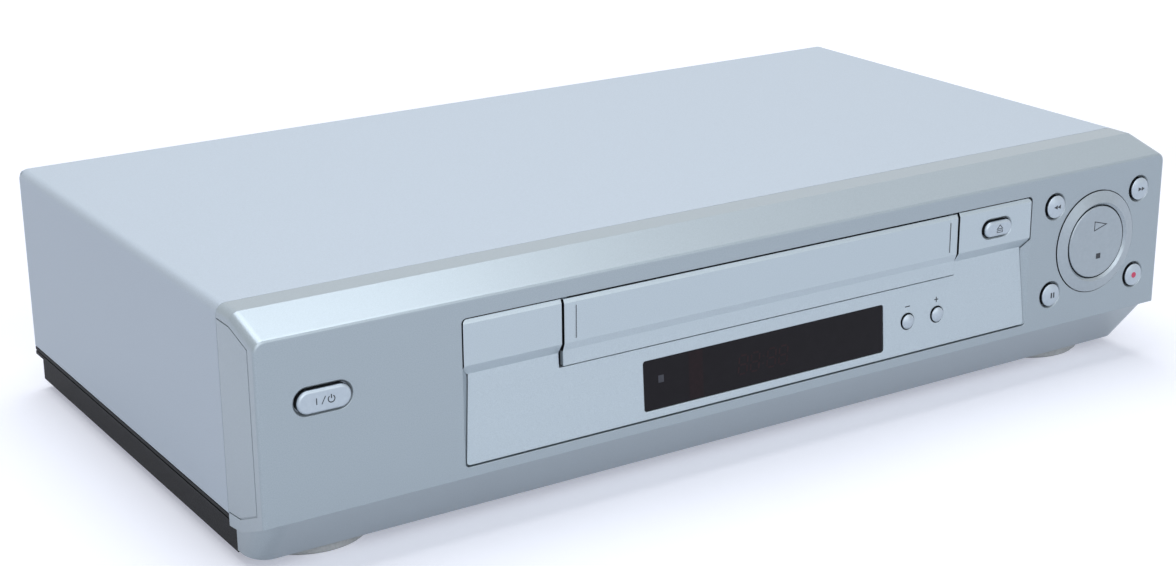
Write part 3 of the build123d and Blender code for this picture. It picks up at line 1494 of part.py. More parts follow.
cam_low = 20.0
cam_height = 5.0
with BuildPart() as cam_gear:
    # Mode cam: toothed rim and two tracks pressed into its upper face.
    with BuildSketch(level(cam_low)):
        with Locations((cam_x, cam_depth)):
            gear_outline(cam_radius - tooth, cam_teeth, 2.0 + running_fit)
    extrude(amount=cam_height)
    with BuildSketch(level(cam_low + cam_height - 2)):
        with Locations((cam_x + 2, cam_depth)):
            Circle(15)
            Circle(12, mode=Mode.SUBTRACT)
        with Locations((cam_x, cam_depth + 1)):
            Circle(8.5)
            Circle(6, mode=Mode.SUBTRACT)
    extrude(amount=3, mode=Mode.SUBTRACT)
cam_gear.part.label = "cam_gear"
export_step(cam_gear.part, "parts/cam_gear.step")

worm_radius = 3.4
worm_height = cam_low + cam_height / 2
worm_depth = cam_depth + cam_radius + worm_radius + 0.4
motor_left = cam_x + 18
motor_radius = 9.0
with BuildPart() as worm:
    # Threaded rod on the motor shaft; the thread is a row of collars.
    worm_plane = side_plane(cam_x - 10)
    with BuildSketch(worm_plane):
        with Locations((worm_depth, worm_height)):
            Circle(worm_radius - 0.9)
    extrude(amount=motor_left - cam_x + 10 - 0.4)
    for turn in range(8):
        with BuildSketch(side_plane(cam_x - 9 + turn * 2.4)):
            with Locations((worm_depth, worm_height)):
                Circle(worm_radius)
        extrude(amount=1.1)
    with BuildSketch(side_plane(motor_left - 0.4)):
        with Locations((worm_depth, worm_height)):
            Circle(1.0)
    extrude(amount=6)
worm.part.label = "worm"
export_step(worm.part, "parts/worm.step")

with BuildPart() as loading_motor:
    # Small can motor hung from the deck plate by its bracket.
    motor_length = 19.0
    with BuildSketch(side_plane(motor_left)):
        with Locations((worm_depth, worm_height)):
            Circle(motor_radius)
            Rectangle(2 * motor_radius, 2 * (motor_radius - 2), mode=Mode.INTERSECT)
    extrude(amount=motor_length)
    with BuildSketch(side_plane(motor_left)):
        with Locations((worm_depth, (worm_height + deck_under) / 2)):
            Rectangle(14, deck_under - worm_height)
    extrude(amount=2)
    with BuildSketch(level(deck_under)):
        with Locations((motor_left + 4, worm_depth)):
            Rectangle(8, 14)
    extrude(amount=-1.5)
    with BuildSketch(side_plane(motor_left - 1)):
        with Locations((worm_depth, worm_height)):
            Circle(1.0 + running_fit)
    extrude(amount=9, mode=Mode.SUBTRACT)
loading_motor.part.label = "loading_motor"
export_step(loading_motor.part, "parts/loading_motor.step")

with BuildPart() as full_erase_head:
    erase_at = (deck_middle - 64, 150.0)
    with BuildSketch(level(deck_top)):
        with Locations(erase_at):
            Rectangle(12, 9)
    extrude(amount=4)
    with BuildSketch(level(deck_top + 4)):
        with Locations(erase_at):
            RectangleRounded(9, 7, 1.5)
    extrude(amount=17)
full_erase_head.part.label = "full_erase_head"
export_step(full_erase_head.part, "parts/full_erase_head.step")

with BuildPart() as audio_control_head:
    audio_at = (deck_middle + 66, 168.0)
    with BuildSketch(level(deck_top)):
        with Locations(audio_at):
            Rectangle(18, 14)
    extrude(amount=2)
    with BuildSketch(level(deck_top + 2)):
        with Locations(audio_at):
            Circle(3)
    extrude(amount=4)
    with BuildSketch(level(deck_top + 6)):
        with Locations(audio_at):
            Rectangle(16, 12)
    extrude(amount=1.6)
    with BuildSketch(level(deck_top + 7.6)):
        with Locations((audio_at[0] - 2, audio_at[1] - 1)):
            RectangleRounded(8, 6.5, 1.5)
    extrude(amount=14)
audio_control_head.part.label = "audio_control_head"
export_step(audio_control_head.part, "parts/audio_control_head.step")

with BuildPart() as lamp_post:
    # End-of-tape lamp on its foot, which stands in the cassette's light hole.
    lamp_at = (deck_middle, clutch_depth + lamp_back)
    with BuildSketch(level(deck_top)):
        with Locations(lamp_at):
            Rectangle(9, 8)
    extrude(amount=3)
    with BuildSketch(level(deck_top + 3)):
        with Locations(lamp_at):
            Circle(2.5)
    extrude(amount=14)
lamp_post.part.label = "lamp_post"
export_step(lamp_post.part, "parts/lamp_post.step")

# ================================================================== CASSETTE CARRIAGE
with BuildPart() as cassette_holder:
    for side in (-1, 1):
        with BuildSketch(side_plane(deck_middle + side * (holder_inner + holder_wall / 2))):
            with Locations(((holder_front + holder_back) / 2, (cassette_floor + holder_top) / 2)):
                Rectangle(holder_depth, holder_top - cassette_floor + 2)
        extrude(amount=holder_wall / 2, both=True)
        # Ledge that carries the cassette, reaching forward to the mouth.
        with BuildSketch(level(cassette_floor - 1)):
            with Locations((deck_middle + side * (holder_inner + holder_wall - ledge_width / 2),
                            (ledge_front + holder_back) / 2)):
                Rectangle(ledge_width, holder_back - ledge_front)
        extrude(amount=1)
        with BuildSketch(side_plane(deck_middle + side * (holder_inner + holder_wall - 0.4))):
            with Locations(*[(depth, holder_pin_height) for depth in pin_depths]):
                Circle(holder_pin)
        extrude(amount=side * (0.4 + slide_gap + carriage_wall - 0.2))
    with BuildSketch(level(holder_top)):
        with Locations((deck_middle, (holder_front + holder_back) / 2)):
            Rectangle(2 * (holder_inner + holder_wall), holder_depth)
            with GridLocations(70, 0, 2, 1):
                SlotOverall(24, 12, rotation=90, mode=Mode.SUBTRACT)
    extrude(amount=1)
cassette_holder.part.label = "cassette_holder"
export_step(cassette_holder.part, "parts/cassette_holder.step")

with BuildPart() as carriage:
    # Two side plates with upright slots for the holder's pins, joined by a bridge over the top.
    plate_bottom = holder_pin_height - lowering_travel - 4
    for side in (-1, 1):
        with BuildSketch(side_plane(deck_middle + side * (carriage_inner + carriage_wall / 2))):
            with Locations(((holder_front + 3 + holder_back) / 2, (plate_bottom + carriage_top) / 2)):
                Rectangle(holder_depth - 3, carriage_top - plate_bottom)
            with Locations(*[(depth, holder_pin_height - lowering_travel / 2) for depth in pin_depths]):
                SlotOverall(lowering_travel + 2 * (holder_pin + pin_play), 2 * (holder_pin + pin_play),
                            rotation=90, mode=Mode.SUBTRACT)
        extrude(amount=carriage_wall / 2, both=True)
        with BuildSketch(side_plane(deck_middle + side * (carriage_inner + carriage_wall - 0.2))):
            with Locations(*[(depth, carriage_pin_height) for depth in pin_depths]):
                Circle(holder_pin)
        extrude(amount=side * (0.2 + slide_gap + frame_wall - 0.1))
    with BuildSketch(level(carriage_top)):
        with Locations((deck_middle, holder_back - 8)):
            Rectangle(2 * (carriage_inner + carriage_wall), 16)
    extrude(amount=-1)
carriage.part.label = "carriage"
export_step(carriage.part, "parts/carriage.step")

with BuildPart() as side_frames:
    # Upright frames on the deck plate, each with a level slot for the carriage's pins.
    frame_front = pin_depths[0] - 8
    frame_back = pin_depths[1] + carriage_travel + 8
    for side in (-1, 1):
        with BuildSketch(side_plane(deck_middle + side * (frame_inner + frame_wall / 2))):
            with Locations(((frame_front + frame_back) / 2, (deck_top + carriage_top) / 2)):
                Rectangle(frame_back - frame_front, carriage_top - deck_top)
            with Locations(((pin_depths[0] + pin_depths[1] + carriage_travel) / 2, carriage_pin_height)):
                SlotOverall(pin_depths[1] - pin_depths[0] + carriage_travel + 2 * (holder_pin + pin_play),
                            2 * (holder_pin + pin_play), mode=Mode.SUBTRACT)
        extrude(amount=frame_wall / 2, both=True)
side_frames.part.label = "side_frames"
export_step(side_frames.part, "parts/side_frames.step")
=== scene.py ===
# %% [markdown]
# # A front-loading video cassette recorder
# The working model is already built: every case panel, button, gear and socket stands in its
# place, in metres, and knows the body that it moves with. This lesson gives those pieces
# their finishes, adds the printed marks and the fine parts that only the eye needs, and sets
# the camera, the floor and the lights. First the frame is loaded.

# %% Load the frame
import json
from math import asin, degrees

import bmesh
import bpy
import numpy as np
from mathutils import Matrix, Vector

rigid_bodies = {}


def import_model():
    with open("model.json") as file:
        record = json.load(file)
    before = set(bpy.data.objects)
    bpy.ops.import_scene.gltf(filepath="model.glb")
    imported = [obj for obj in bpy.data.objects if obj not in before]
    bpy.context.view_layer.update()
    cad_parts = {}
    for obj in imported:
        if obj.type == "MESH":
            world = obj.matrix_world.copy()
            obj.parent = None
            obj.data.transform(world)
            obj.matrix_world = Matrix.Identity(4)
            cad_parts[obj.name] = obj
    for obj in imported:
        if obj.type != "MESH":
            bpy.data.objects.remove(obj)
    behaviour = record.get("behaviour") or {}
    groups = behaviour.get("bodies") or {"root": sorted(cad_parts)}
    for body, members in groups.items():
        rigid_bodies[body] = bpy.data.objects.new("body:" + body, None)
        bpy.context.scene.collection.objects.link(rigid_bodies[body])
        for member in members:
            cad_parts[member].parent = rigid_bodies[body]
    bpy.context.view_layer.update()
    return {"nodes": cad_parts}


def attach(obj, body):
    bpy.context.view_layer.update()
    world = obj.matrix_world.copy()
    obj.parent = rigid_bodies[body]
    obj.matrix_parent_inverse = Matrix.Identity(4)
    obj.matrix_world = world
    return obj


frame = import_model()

MM = 0.001
nodes = frame["nodes"]

# %% [markdown]
# ## Small tools
# Colours are written as they look on a screen, in sRGB, but Blender mixes light in linear
# values, so one function turns the one into the other. A material is a little network of
# nodes, and one more function adds a node with its settings and its links in one call.

# %% Colour and node helpers
def colour(hex_value):
    """sRGB hex colour as linear RGBA: below 0.04 a straight line, above it a power of 2.4."""
    srgb = np.array([int(hex_value[i:i + 2], 16) for i in (1, 3, 5)]) / 255
    linear = np.where(srgb <= 0.04045, srgb / 12.92, ((srgb + 0.055) / 1.055) ** 2.4)
    return (*linear.tolist(), 1.0)


def add_node(tree, kind, inputs=None, **settings):
    """Add one node; each input is a value, or another node's output, which is linked."""
    node = tree.nodes.new(kind)
    for name, value in settings.items():
        setattr(node, name, value)
    for socket, value in (inputs or {}).items():
        if isinstance(value, bpy.types.NodeSocket):
            tree.links.new(value, node.inputs[socket])
        else:
            node.inputs[socket].default_value = value
    return node


def start_material(name, **shader_values):
    """A new material with only its shader, whose uniform values are set on its own sockets."""
    material = bpy.data.materials.new(name)
    material.use_nodes = True
    shader = material.node_tree.nodes["Principled BSDF"]
    for socket, value in shader_values.items():
        shader.inputs[socket.replace("_", " ")].default_value = value
    return material, material.node_tree, shader


dressed = set()


def dress(material, *names):
    """Give the material to the CAD nodes of these names, and note that they have one."""
    dressed.update(names)
    for name in names:
        slots = nodes[name].data.materials
        slots.clear()
        slots.append(material)


# %% [markdown]
# ## Surface grain
# Nearly every surface here is one colour broken up by something small: metal flakes in paint,
# the spark texture of a moulding tool, rolling lines in sheet. Each is a noise of a known size
# in millimetres that shifts the colour a little, the roughness a little, and the height a very
# little. Writing it once keeps the scale honest, because the size is a real length. No moulded
# or painted edge is sharp either: paint draws back from it and leaves a radius of a few tenths
# of a millimetre, which is what catches the light as a thin bright line.

# %% Grain, shared by the finishes
def grain(tree, shader, light, dark, size, rough, height=0.0, stretch=(1, 1, 1), edge=0.0):
    """Noise sized in millimetres: mixes two colours, moves the roughness, raises the surface.

    The edge is the radius, in millimetres, that the shading gives to sharp corners. It works
    through the bump, so it needs a height.
    """
    place = add_node(tree, "ShaderNodeTexCoord").outputs["Object"]
    stretched = add_node(tree, "ShaderNodeMapping", {"Vector": place, "Scale": stretch})
    noise = add_node(tree, "ShaderNodeTexNoise", {
        "Vector": stretched.outputs[0], "Scale": 1 / (size * MM), "Detail": 2.0, "Roughness": 0.6,
    })
    spread = add_node(tree, "ShaderNodeMapRange", {
        "Value": noise.outputs[0], "From Min": 0.3, "From Max": 0.7,
    }).outputs[0]
    ramp = add_node(tree, "ShaderNodeValToRGB", {"Fac": spread})
    ramp.color_ramp.elements[0].color = colour(dark)
    ramp.color_ramp.elements[1].color = colour(light)
    tree.links.new(ramp.outputs["Color"], shader.inputs["Base Color"])
    roughness = add_node(tree, "ShaderNodeMapRange", {
        "Value": spread, "To Min": rough[0], "To Max": rough[1],
    })
    tree.links.new(roughness.outputs[0], shader.inputs["Roughness"])
    if height:
        bump = add_node(tree, "ShaderNodeBump", {"Height": spread, "Distance": height * MM})
        tree.links.new(bump.outputs[0], shader.inputs["Normal"])
    if edge:
        rounded = add_node(tree, "ShaderNodeBevel", {"Radius": edge * MM}, samples=8)
        tree.links.new(rounded.outputs[0], bump.inputs["Normal"])


# %% [markdown]
# ## Painted shade in the slots
# Each joint of the front is drawn as a crisp near-black line. The faces that look into the
# narrow slots between two pieces are given a dark plastic colour and no metal: this is painted
# shade, standing in for the shade deep in those slots. The rule is written with the direction
# that a face looks in: turned more than about eighty degrees from the front, it gets the
# painted shade. It suits every piece that is set into the fascia. On the insert only the slots
# above the step get it; below the step, the panel's edge keeps its silver.

# %% Painted shade in the slots
EDGE_ON = 0.15           # sine of the nine degrees within which a face counts as edge-on
STEP_HEIGHT = 0.0645     # metres up to the insert's step


def painted_slot_shade(tree, shader, metallic, above=0.0, bare="#17181b"):
    """Painted shade: faces edge-on to the front and above that height in metres turn dark and not
    metallic.
    """
    place = add_node(tree, "ShaderNodeTexCoord").outputs
    facing = add_node(tree, "ShaderNodeSeparateXYZ", {0: place["Normal"]}).outputs[1]
    height = add_node(tree, "ShaderNodeSeparateXYZ", {0: place["Object"]}).outputs[2]
    size = add_node(tree, "ShaderNodeMath", {0: facing}, operation="ABSOLUTE").outputs[0]
    turned = add_node(tree, "ShaderNodeMath", {0: size, 1: EDGE_ON},
                      operation="LESS_THAN").outputs[0]
    high = add_node(tree, "ShaderNodeMath", {0: height, 1: above},
                    operation="GREATER_THAN").outputs[0]
    slot_shade_mask = add_node(tree, "ShaderNodeMath", {0: turned, 1: high},
                         operation="MULTIPLY").outputs[0]
    painted = shader.inputs["Base Color"].links[0].from_socket
    # A mix node's inputs 6 and 7 are its two colours.
    # Painted shade: in the slots the silver gives way to the dark colour given as bare.
    mixed = add_node(tree, "ShaderNodeMix", {0: slot_shade_mask, 6: painted, 7: colour(bare)},
                     data_type="RGBA")
    tree.links.new(mixed.outputs[2], shader.inputs["Base Color"])
    metal = add_node(tree, "ShaderNodeMapRange", {"Value": slot_shade_mask, "To Min": metallic,
                                                  "To Max": 0.0})
    tree.links.new(metal.outputs[0], shader.inputs["Metallic"])


# %% [markdown]
# ## The cover's paint
# The cover is steel sheet, painted before it is folded with a cool silver that carries fine
# aluminium flake. Flake sits parallel to the surface, so the paint is partly metallic, yet it is
# satin: its reflections are wide and soft. Real flake is 0.03 mm across, far too fine to show,
# so the mottling is drawn at 0.5 mm. Orange peel from the sprayed coat is a faint 0.01 mm swell.

# %% Painted steel: the cover
cover_paint, tree, shader = start_material("flake_painted_steel", Metallic=0.35, Coat_Weight=0.08,
                                           Coat_Roughness=0.35)
grain(tree, shader, "#b3bfcb", "#a8b4c0", 0.5, (0.42, 0.52), height=0.010, edge=0.6)
dress(cover_paint, "top_cover")

# %% [markdown]
# ## The silver mouldings
# The front is ABS, sprayed a silver close to the cover's but a touch darker and smoother, since
# paint levels out well on a polished moulding. The insert panel and flap come from another
# tool and another batch: they are a shade lighter, which is what makes the panel read as a
# separate piece. The same recipe is called with two pairs of colours.

# %% Silver-painted ABS: fascia, insert panel, flap
fascia_paint, tree, shader = start_material("silver_painted_abs", Metallic=0.55, Coat_Weight=0.10,
                                            Coat_Roughness=0.30)
grain(tree, shader, "#a0acb4", "#95a1a9", 0.4, (0.30, 0.38), height=0.006, edge=0.35)
dress(fascia_paint, "fascia")

panel_paint, tree, shader = start_material("light_silver_abs", Coat_Weight=0.10,
                                           Coat_Roughness=0.30)
grain(tree, shader, "#b7c4cc", "#abb8c1", 0.4, (0.30, 0.38), height=0.006, edge=0.35)
# Painted shade on the faces in the slots above the step.
painted_slot_shade(tree, shader, 0.5, above=STEP_HEIGHT)
dress(panel_paint, "insert_panel", "cassette_flap")

# %% [markdown]
# ## Ring and buttons
# The keys are the pieces that fingers touch, so they are finished smoother: a satin plated
# plastic, as metallic as the paint around it. Its mottling is drawn coarser than on the real
# skin, 1.5 mm, and without any bump: on caps this small and this glossy a finer pattern turns
# into specks. The ring and the rocker inside it are a shade darker, as deep as the fascia. On
# the caps, the ring and the rocker, the walls in the slots get the painted shade.

# %% Satin plated plastic: caps, then ring and rocker
plated_plastic, tree, shader = start_material("satin_plated_plastic", Coat_Weight=0.15,
                                              Coat_Roughness=0.20)
grain(tree, shader, "#b1bdc7", "#abb7c2", 1.5, (0.30, 0.34))
# Painted shade on the cap walls in their slots.
painted_slot_shade(tree, shader, 0.55)
dress(plated_plastic, "power_button", "eject_button", "rewind_button", "fast_forward_button",
      "pause_button", "record_button", "channel_down_button", "channel_up_button")

ring_finish, tree, shader = start_material("satin_plated_ring", Coat_Weight=0.15,
                                           Coat_Roughness=0.20)
grain(tree, shader, "#9faab2", "#9aa5ad", 1.5, (0.28, 0.32))
# Painted shade on the walls of the ring's and the rocker's slots.
painted_slot_shade(tree, shader, 0.55)
dress(ring_finish, "control_ring", "play_stop_button")

# %% [markdown]
# ## The window
# The display looks out through smoked acrylic, polished on both sides. Seen from outside it is
# nearly black with a thin gloss, weaker than bare acrylic's because windows of this kind are
# flow-coated against glare. Its tint is very slightly warm, because the dye has to pass the
# red end of the light from the display and the remote receiver behind it.

# %% Smoked acrylic: the window
smoked_acrylic, tree, shader = start_material("smoked_acrylic", IOR=1.49, Specular_IOR_Level=0.14)
grain(tree, shader, "#18161b", "#151318", 6.0, (0.08, 0.11))
dress(smoked_acrylic, "display_window")

# %% [markdown]
# ## Chassis, feet and rear
# The tray is black polystyrene out of a spark-textured tool, which breaks the gloss into a fine
# grey tooth. The feet are a pale thermoplastic rubber. The rear is steel sheet with a grey
# baked coat, and the cover's screws are blackened steel.

# %% Black tray, pale feet, grey rear sheet, screws
tray_plastic, tree, shader = start_material("textured_black_polystyrene", IOR=1.59,
                                            Specular_IOR_Level=0.15)
grain(tree, shader, "#16171b", "#0b0c0e", 0.6, (0.55, 0.70), height=0.05)
dress(tray_plastic, "chassis_base")

foot_rubber, tree, shader = start_material("pale_rubber", IOR=1.52)
grain(tree, shader, "#c4c7c8", "#b2b6b8", 1.2, (0.62, 0.75), height=0.02)
dress(foot_rubber, "feet")

rear_sheet, tree, shader = start_material("grey_coated_steel", Metallic=0.2)
grain(tree, shader, "#8b9096", "#7d8288", 0.7, (0.45, 0.58), height=0.012)
dress(rear_sheet, "rear_panel")

screw_steel, tree, shader = start_material("blackened_steel", Metallic=1.0)
grain(tree, shader, "#4b4c4f", "#35363a", 0.5, (0.32, 0.42))
dress(screw_steel, "screws")

# %% [markdown]
# ## Metals of the tape deck
# Pressed steel is zinc-plated: a soft spangle some millimetres across shows in its grey. The
# drum is aluminium turned on a lathe with a diamond tool, so its grain is drawn out around
# the axis; seen from outside that reads as level lines, so its noise is squeezed in height.
# Cast and turned parts differ mainly in how rough they are.

# %% Zinc-plated, turned, cast and bronze metals
zinc_plate, tree, shader = start_material("zinc_plated_steel", Metallic=1.0)
grain(tree, shader, "#b7b9b6", "#9da09f", 5.0, (0.30, 0.44), height=0.01)
dress(zinc_plate, "deck_plate", "side_frames", "carriage", "cassette_holder", "tuner_can")

turned_aluminium, tree, shader = start_material("turned_aluminium", Metallic=1.0)
grain(tree, shader, "#dcdddf", "#c6c8cb", 2.0, (0.14, 0.24), height=0.004, stretch=(1, 1, 20))
dress(turned_aluminium, "upper_drum", "lower_drum")

cast_aluminium, tree, shader = start_material("cast_aluminium", Metallic=1.0)
grain(tree, shader, "#a9abae", "#8e9195", 0.9, (0.46, 0.60), height=0.05)
dress(cast_aluminium, "drum_base", "guide_rails")

turned_steel, tree, shader = start_material("turned_steel", Metallic=1.0)
grain(tree, shader, "#b0b2b6", "#94979c", 1.5, (0.20, 0.32), height=0.004, stretch=(1, 1, 12))
dress(turned_steel, "drum_rotor", "capstan", "tension_arm", "pinch_arm", "idler_arm",
      "flap_spring", "worm", "loading_motor", "full_erase_head", "audio_control_head")

sintered_bronze, tree, shader = start_material("sintered_bronze", Metallic=1.0)
grain(tree, shader, "#b78d4e", "#98713a", 0.6, (0.38, 0.50), height=0.02)
dress(sintered_bronze, "capstan_housing")

# %% [markdown]
# ## Plastics and rubber of the tape deck
# Gears are white acetal, waxy and slightly see-through, so a little light is let in under the
# skin. The guide carriages and sockets are black nylon and the roller is ground rubber, dull
# because its surface is scuffed on purpose to grip the tape.

# %% Acetal, nylon and rubber
acetal, tree, shader = start_material("white_acetal", IOR=1.48, Subsurface_Weight=0.15,
                                      Subsurface_Radius=(0.002, 0.002, 0.0015))
grain(tree, shader, "#e4e2d8", "#d8d5c9", 1.5, (0.34, 0.44), height=0.006)
dress(acetal, "supply_reel", "takeup_reel", "idler_gear", "clutch_pulley", "cam_gear", "lamp_post")

black_nylon, tree, shader = start_material("black_nylon", IOR=1.53)
grain(tree, shader, "#2b2b2d", "#1b1b1d", 0.7, (0.45, 0.60), height=0.02)
dress(black_nylon, "supply_guide", "takeup_guide", "tact_switches", "mains_inlet", "phono_sockets")

ground_rubber, tree, shader = start_material("ground_black_rubber", IOR=1.52)
grain(tree, shader, "#262626", "#161616", 0.5, (0.72, 0.85), height=0.03)
dress(ground_rubber, "pinch_roller", "drive_belt")

# %% [markdown]
# ## Boards and what stands on them
# The cheap brown phenolic boards of such machines are paper pressed with resin, with a soft
# cloudiness of a few millimetres. The display is a flat glass tube, the transformer is wound
# and wrapped in yellow tape, and the capacitors wear shrunk plastic sleeves.

# %% Phenolic, glass, tape, sleeves, tinned shells
phenolic, tree, shader = start_material("paper_phenolic", IOR=1.55)
grain(tree, shader, "#8a6238", "#754f2b", 4.0, (0.42, 0.55), height=0.01)
dress(phenolic, "main_board", "front_board", "power_board")

tube_glass, tree, shader = start_material("display_glass", IOR=1.50, Coat_Weight=0.5,
                                          Coat_Roughness=0.04)
grain(tree, shader, "#4a5a58", "#3d4c4b", 3.0, (0.06, 0.10))
dress(tube_glass, "display_tube")

winding_tape, tree, shader = start_material("yellow_polyester_tape", IOR=1.57)
grain(tree, shader, "#d6b23c", "#c49d2b", 1.8, (0.24, 0.34), height=0.01, stretch=(1, 1, 4))
dress(winding_tape, "power_transformer")

capacitor_sleeve, tree, shader = start_material("shrunk_sleeve", IOR=1.54, Coat_Weight=0.2)
grain(tree, shader, "#22263a", "#1a1d2d", 1.0, (0.28, 0.38))
dress(capacitor_sleeve, "smoothing_capacitors")

tinned_shell, tree, shader = start_material("tinned_steel", Metallic=1.0)
grain(tree, shader, "#c0c1c2", "#a6a8aa", 2.2, (0.24, 0.36), height=0.006)
dress(tinned_shell, "scart_sockets", "aerial_sockets")

print("materials", len(bpy.data.materials), "nodes still bare", sorted(set(nodes) - dressed))

# %% [markdown]
# ## The printed signs
# The keys carry small pad-printed signs: a soft pad presses a film of ink onto the cap, so the
# sign follows its dome and stands a few hundredths of a millimetre proud. Each sign is a set of
# thin plates made from sheets of points laid over the cap's own surface. One function lays any
# such sheet and closes it underneath; lines, rings, triangles and dots differ only in their
# points.

# %% Sheets of ink, laid on a surface
FACE_Y = -121.2                          # the plane of the front, mm
INK_PROUD, INK_SUNK = 0.03, 0.07         # mm above and below the cap's surface
CAP_FACE = -1.5                          # depth of the caps' faces, proud of the front, mm


def plate(across, up, closed, surface):
    """Points and faces of a thin closed plate over a grid given in mm across and up the front.

    The sheet's depth is surface(across, up) less the ink's height, and the underside is the
    same sheet a little inside the cap; the border joins the two. A closed sheet, such as a
    ring, meets itself in its first direction instead of ending there.
    """
    rows, columns = across.shape
    count = rows * columns
    top = np.stack([across, FACE_Y + surface(across, up) - INK_PROUD, up], axis=-1).reshape(-1, 3)
    under = top + [0, INK_PROUD + INK_SUNK, 0]
    index = np.arange(count).reshape(rows, columns)
    if closed:
        index = np.vstack([index, index[:1]])

    def quads(low, high):
        return np.stack([low[:-1], low[1:], high[1:], high[:-1]], axis=-1).reshape(-1, 4)

    sheet = np.concatenate([quads(index[:, j], index[:, j + 1]) for j in range(columns - 1)])
    sides = [quads(index[:, 0] + count, index[:, 0]), quads(index[:, -1], index[:, -1] + count)]
    if not closed:
        sides += [quads(index[0], index[0] + count), quads(index[-1] + count, index[-1])]
    return np.concatenate([top, under]), np.concatenate([sheet, sheet[:, ::-1] + count, *sides])


def print_sign(name, sheets, surface, body, material):
    """One mesh from all the sheets of a sign, riding on the body whose surface it's printed on."""
    points, faces, total = [], [], 0
    for across, up, closed in sheets:
        own_points, own_faces = plate(across, up, closed, surface)
        points.append(own_points)
        faces.append(own_faces + total)
        total += len(own_points)
    mesh = bpy.data.meshes.new(name)
    mesh.from_pydata((np.concatenate(points) * MM).tolist(), [], np.concatenate(faces).tolist())
    edit = bmesh.new()
    edit.from_mesh(mesh)
    bmesh.ops.recalc_face_normals(edit, faces=edit.faces)
    edit.to_mesh(mesh)
    edit.free()
    mesh.materials.append(material)
    piece = bpy.data.objects.new(name, mesh)
    bpy.context.scene.collection.objects.link(piece)
    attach(piece, body)


def stroke(path, width, closed=False, steps=6):
    """Sheet along a path of (across, up) points: each point is widened at right angles.

    At a corner the widening follows the bisector and grows by one over the cosine of half the
    turn, so that the line keeps its width. The width may change from point to point.
    """
    path = np.asarray(path, float)
    before = path - np.roll(path, 1, 0)
    after = np.roll(path, -1, 0) - path
    if not closed:
        before[0], after[-1] = after[0], before[-1]
    before /= np.linalg.norm(before, axis=1, keepdims=True)
    after /= np.linalg.norm(after, axis=1, keepdims=True)
    ahead = before + after
    ahead /= np.linalg.norm(ahead, axis=1, keepdims=True)
    side = np.stack([-ahead[:, 1], ahead[:, 0]], axis=1)
    reach = np.reshape(width / 2 / np.maximum((ahead * after).sum(1), 0.3), (-1, 1))
    points = path[:, None] + np.linspace(-1, 1, steps)[None, :, None] * (side * reach)[:, None]
    return points[..., 0], points[..., 1], closed


def bar(start, end, width):
    """Straight filled stroke; the width is one number, or one for each end."""
    widths = np.linspace(*width, 9) if isinstance(width, tuple) else np.full(9, width)
    return stroke(np.linspace(start, end, 9), widths)


def outline(corners, centre, width):
    """Line of even width round a shape whose corners are given from its centre."""
    return stroke(np.array(corners) + centre, width, closed=True, steps=2)


def dome(centre, radius):
    """Depth of a turned cap: its face, and behind it the fall of a circle of that radius."""
    def depth(across, up):
        off = (across - centre[0]) ** 2 + (up - centre[1]) ** 2
        return CAP_FACE + radius - np.sqrt(radius ** 2 - off)
    return depth


def level(depth):
    """Depth of a surface that stands upright."""
    return lambda across, up: depth + 0 * across


# %% [markdown]
# ## Ink colours
# Two inks: a dark blue-grey, which never prints as a true black over silver, and the pinkish
# red of the record dot. Ink dries to a soft sheen, a little glossier than the paint around it.

# %% Dark ink and red ink
def ink(name, light, dark):
    """Printing ink: mottled over a third of a millimetre, satin."""
    made, tree, shader = start_material(name, IOR=1.50)
    grain(tree, shader, light, dark, 0.35, (0.35, 0.45))
    return made


dark_ink = ink("pad_print_dark", "#262d35", "#1d232a")
red_ink = ink("pad_print_red", "#cc4468", "#bd3558")

# %% [markdown]
# ## Signs on the rocker, the round keys, eject and power
# Playing is an outlined triangle and stopping a filled square, printed well apart on the two
# ends of the rocker. A filled shape is a stroke whose width changes along its length: steady
# for a bar or a square, shrinking to a point for a triangle, and the chord of a circle for the
# dot. The power sign is an upright stroke, a slanting one and a broken ring with a bar in its gap.

# %% Signs on the big rocker
rocker_face = level(-1.1)
print_sign("play_sign", [outline([(-3.2, 2.0), (-3.2, -2.0), (3.8, 0.0)], (177.3, 66.7), 0.42)],
           rocker_face, "play_stop", dark_ink)
print_sign("stop_sign", [bar((176.1, 52.9), (178.7, 52.9), 2.4)], rocker_face, "play_stop",
           dark_ink)

# %% [markdown]
# ## Signs on the round keys
# The round keys are turned domes, so their signs bend with them: two bars for pause, a red dot
# for record, and pairs of arrowheads that point left and right for the two ways of winding.

# %% Signs on the round keys
key_round = 13.79        # radius of the round keys' dome, mm
print_sign("pause_sign", [bar((x, 38.8), (x, 41.2), 0.8) for x in (150.5, 151.9)],
           dome((151.0, 39.9), key_round), "pause", dark_ink)

dot_angle = np.linspace(0.06, np.pi - 0.06, 25)
dot_path = np.stack([200.0 - 1.3 * np.cos(dot_angle), np.full(25, 40.1)], axis=1)
print_sign("record_sign", [stroke(dot_path, 2.6 * np.sin(dot_angle))],
           dome((200.6, 39.9), key_round), "record", red_ink)

for key, middle, way in (("rewind", 151.0, -1), ("fast_forward", 200.6, 1)):
    arrows = [bar((middle + way * back, 79.2), (middle + way * (back + 1.9), 79.2), (1.8, 0.05))
              for back in (-1.7, 0.2)]
    print_sign(f"{key}_sign", arrows, dome((middle, 79.1), key_round), key, dark_ink)

# %% [markdown]
# ## Signs on eject and power
# These two caps have level faces. Eject is a small triangle over a bar, both outlined.

# %% Eject and power
eject_place = (118.3, 75.4)
print_sign("eject_sign", [
    outline([(-1.5, 0.05), (1.5, 0.05), (0.0, 1.7)], eject_place, 0.34),
    outline([(-1.5, -1.45), (1.5, -1.45), (1.5, -0.65), (-1.5, -0.65)], eject_place, 0.30),
], level(CAP_FACE), "eject", dark_ink)

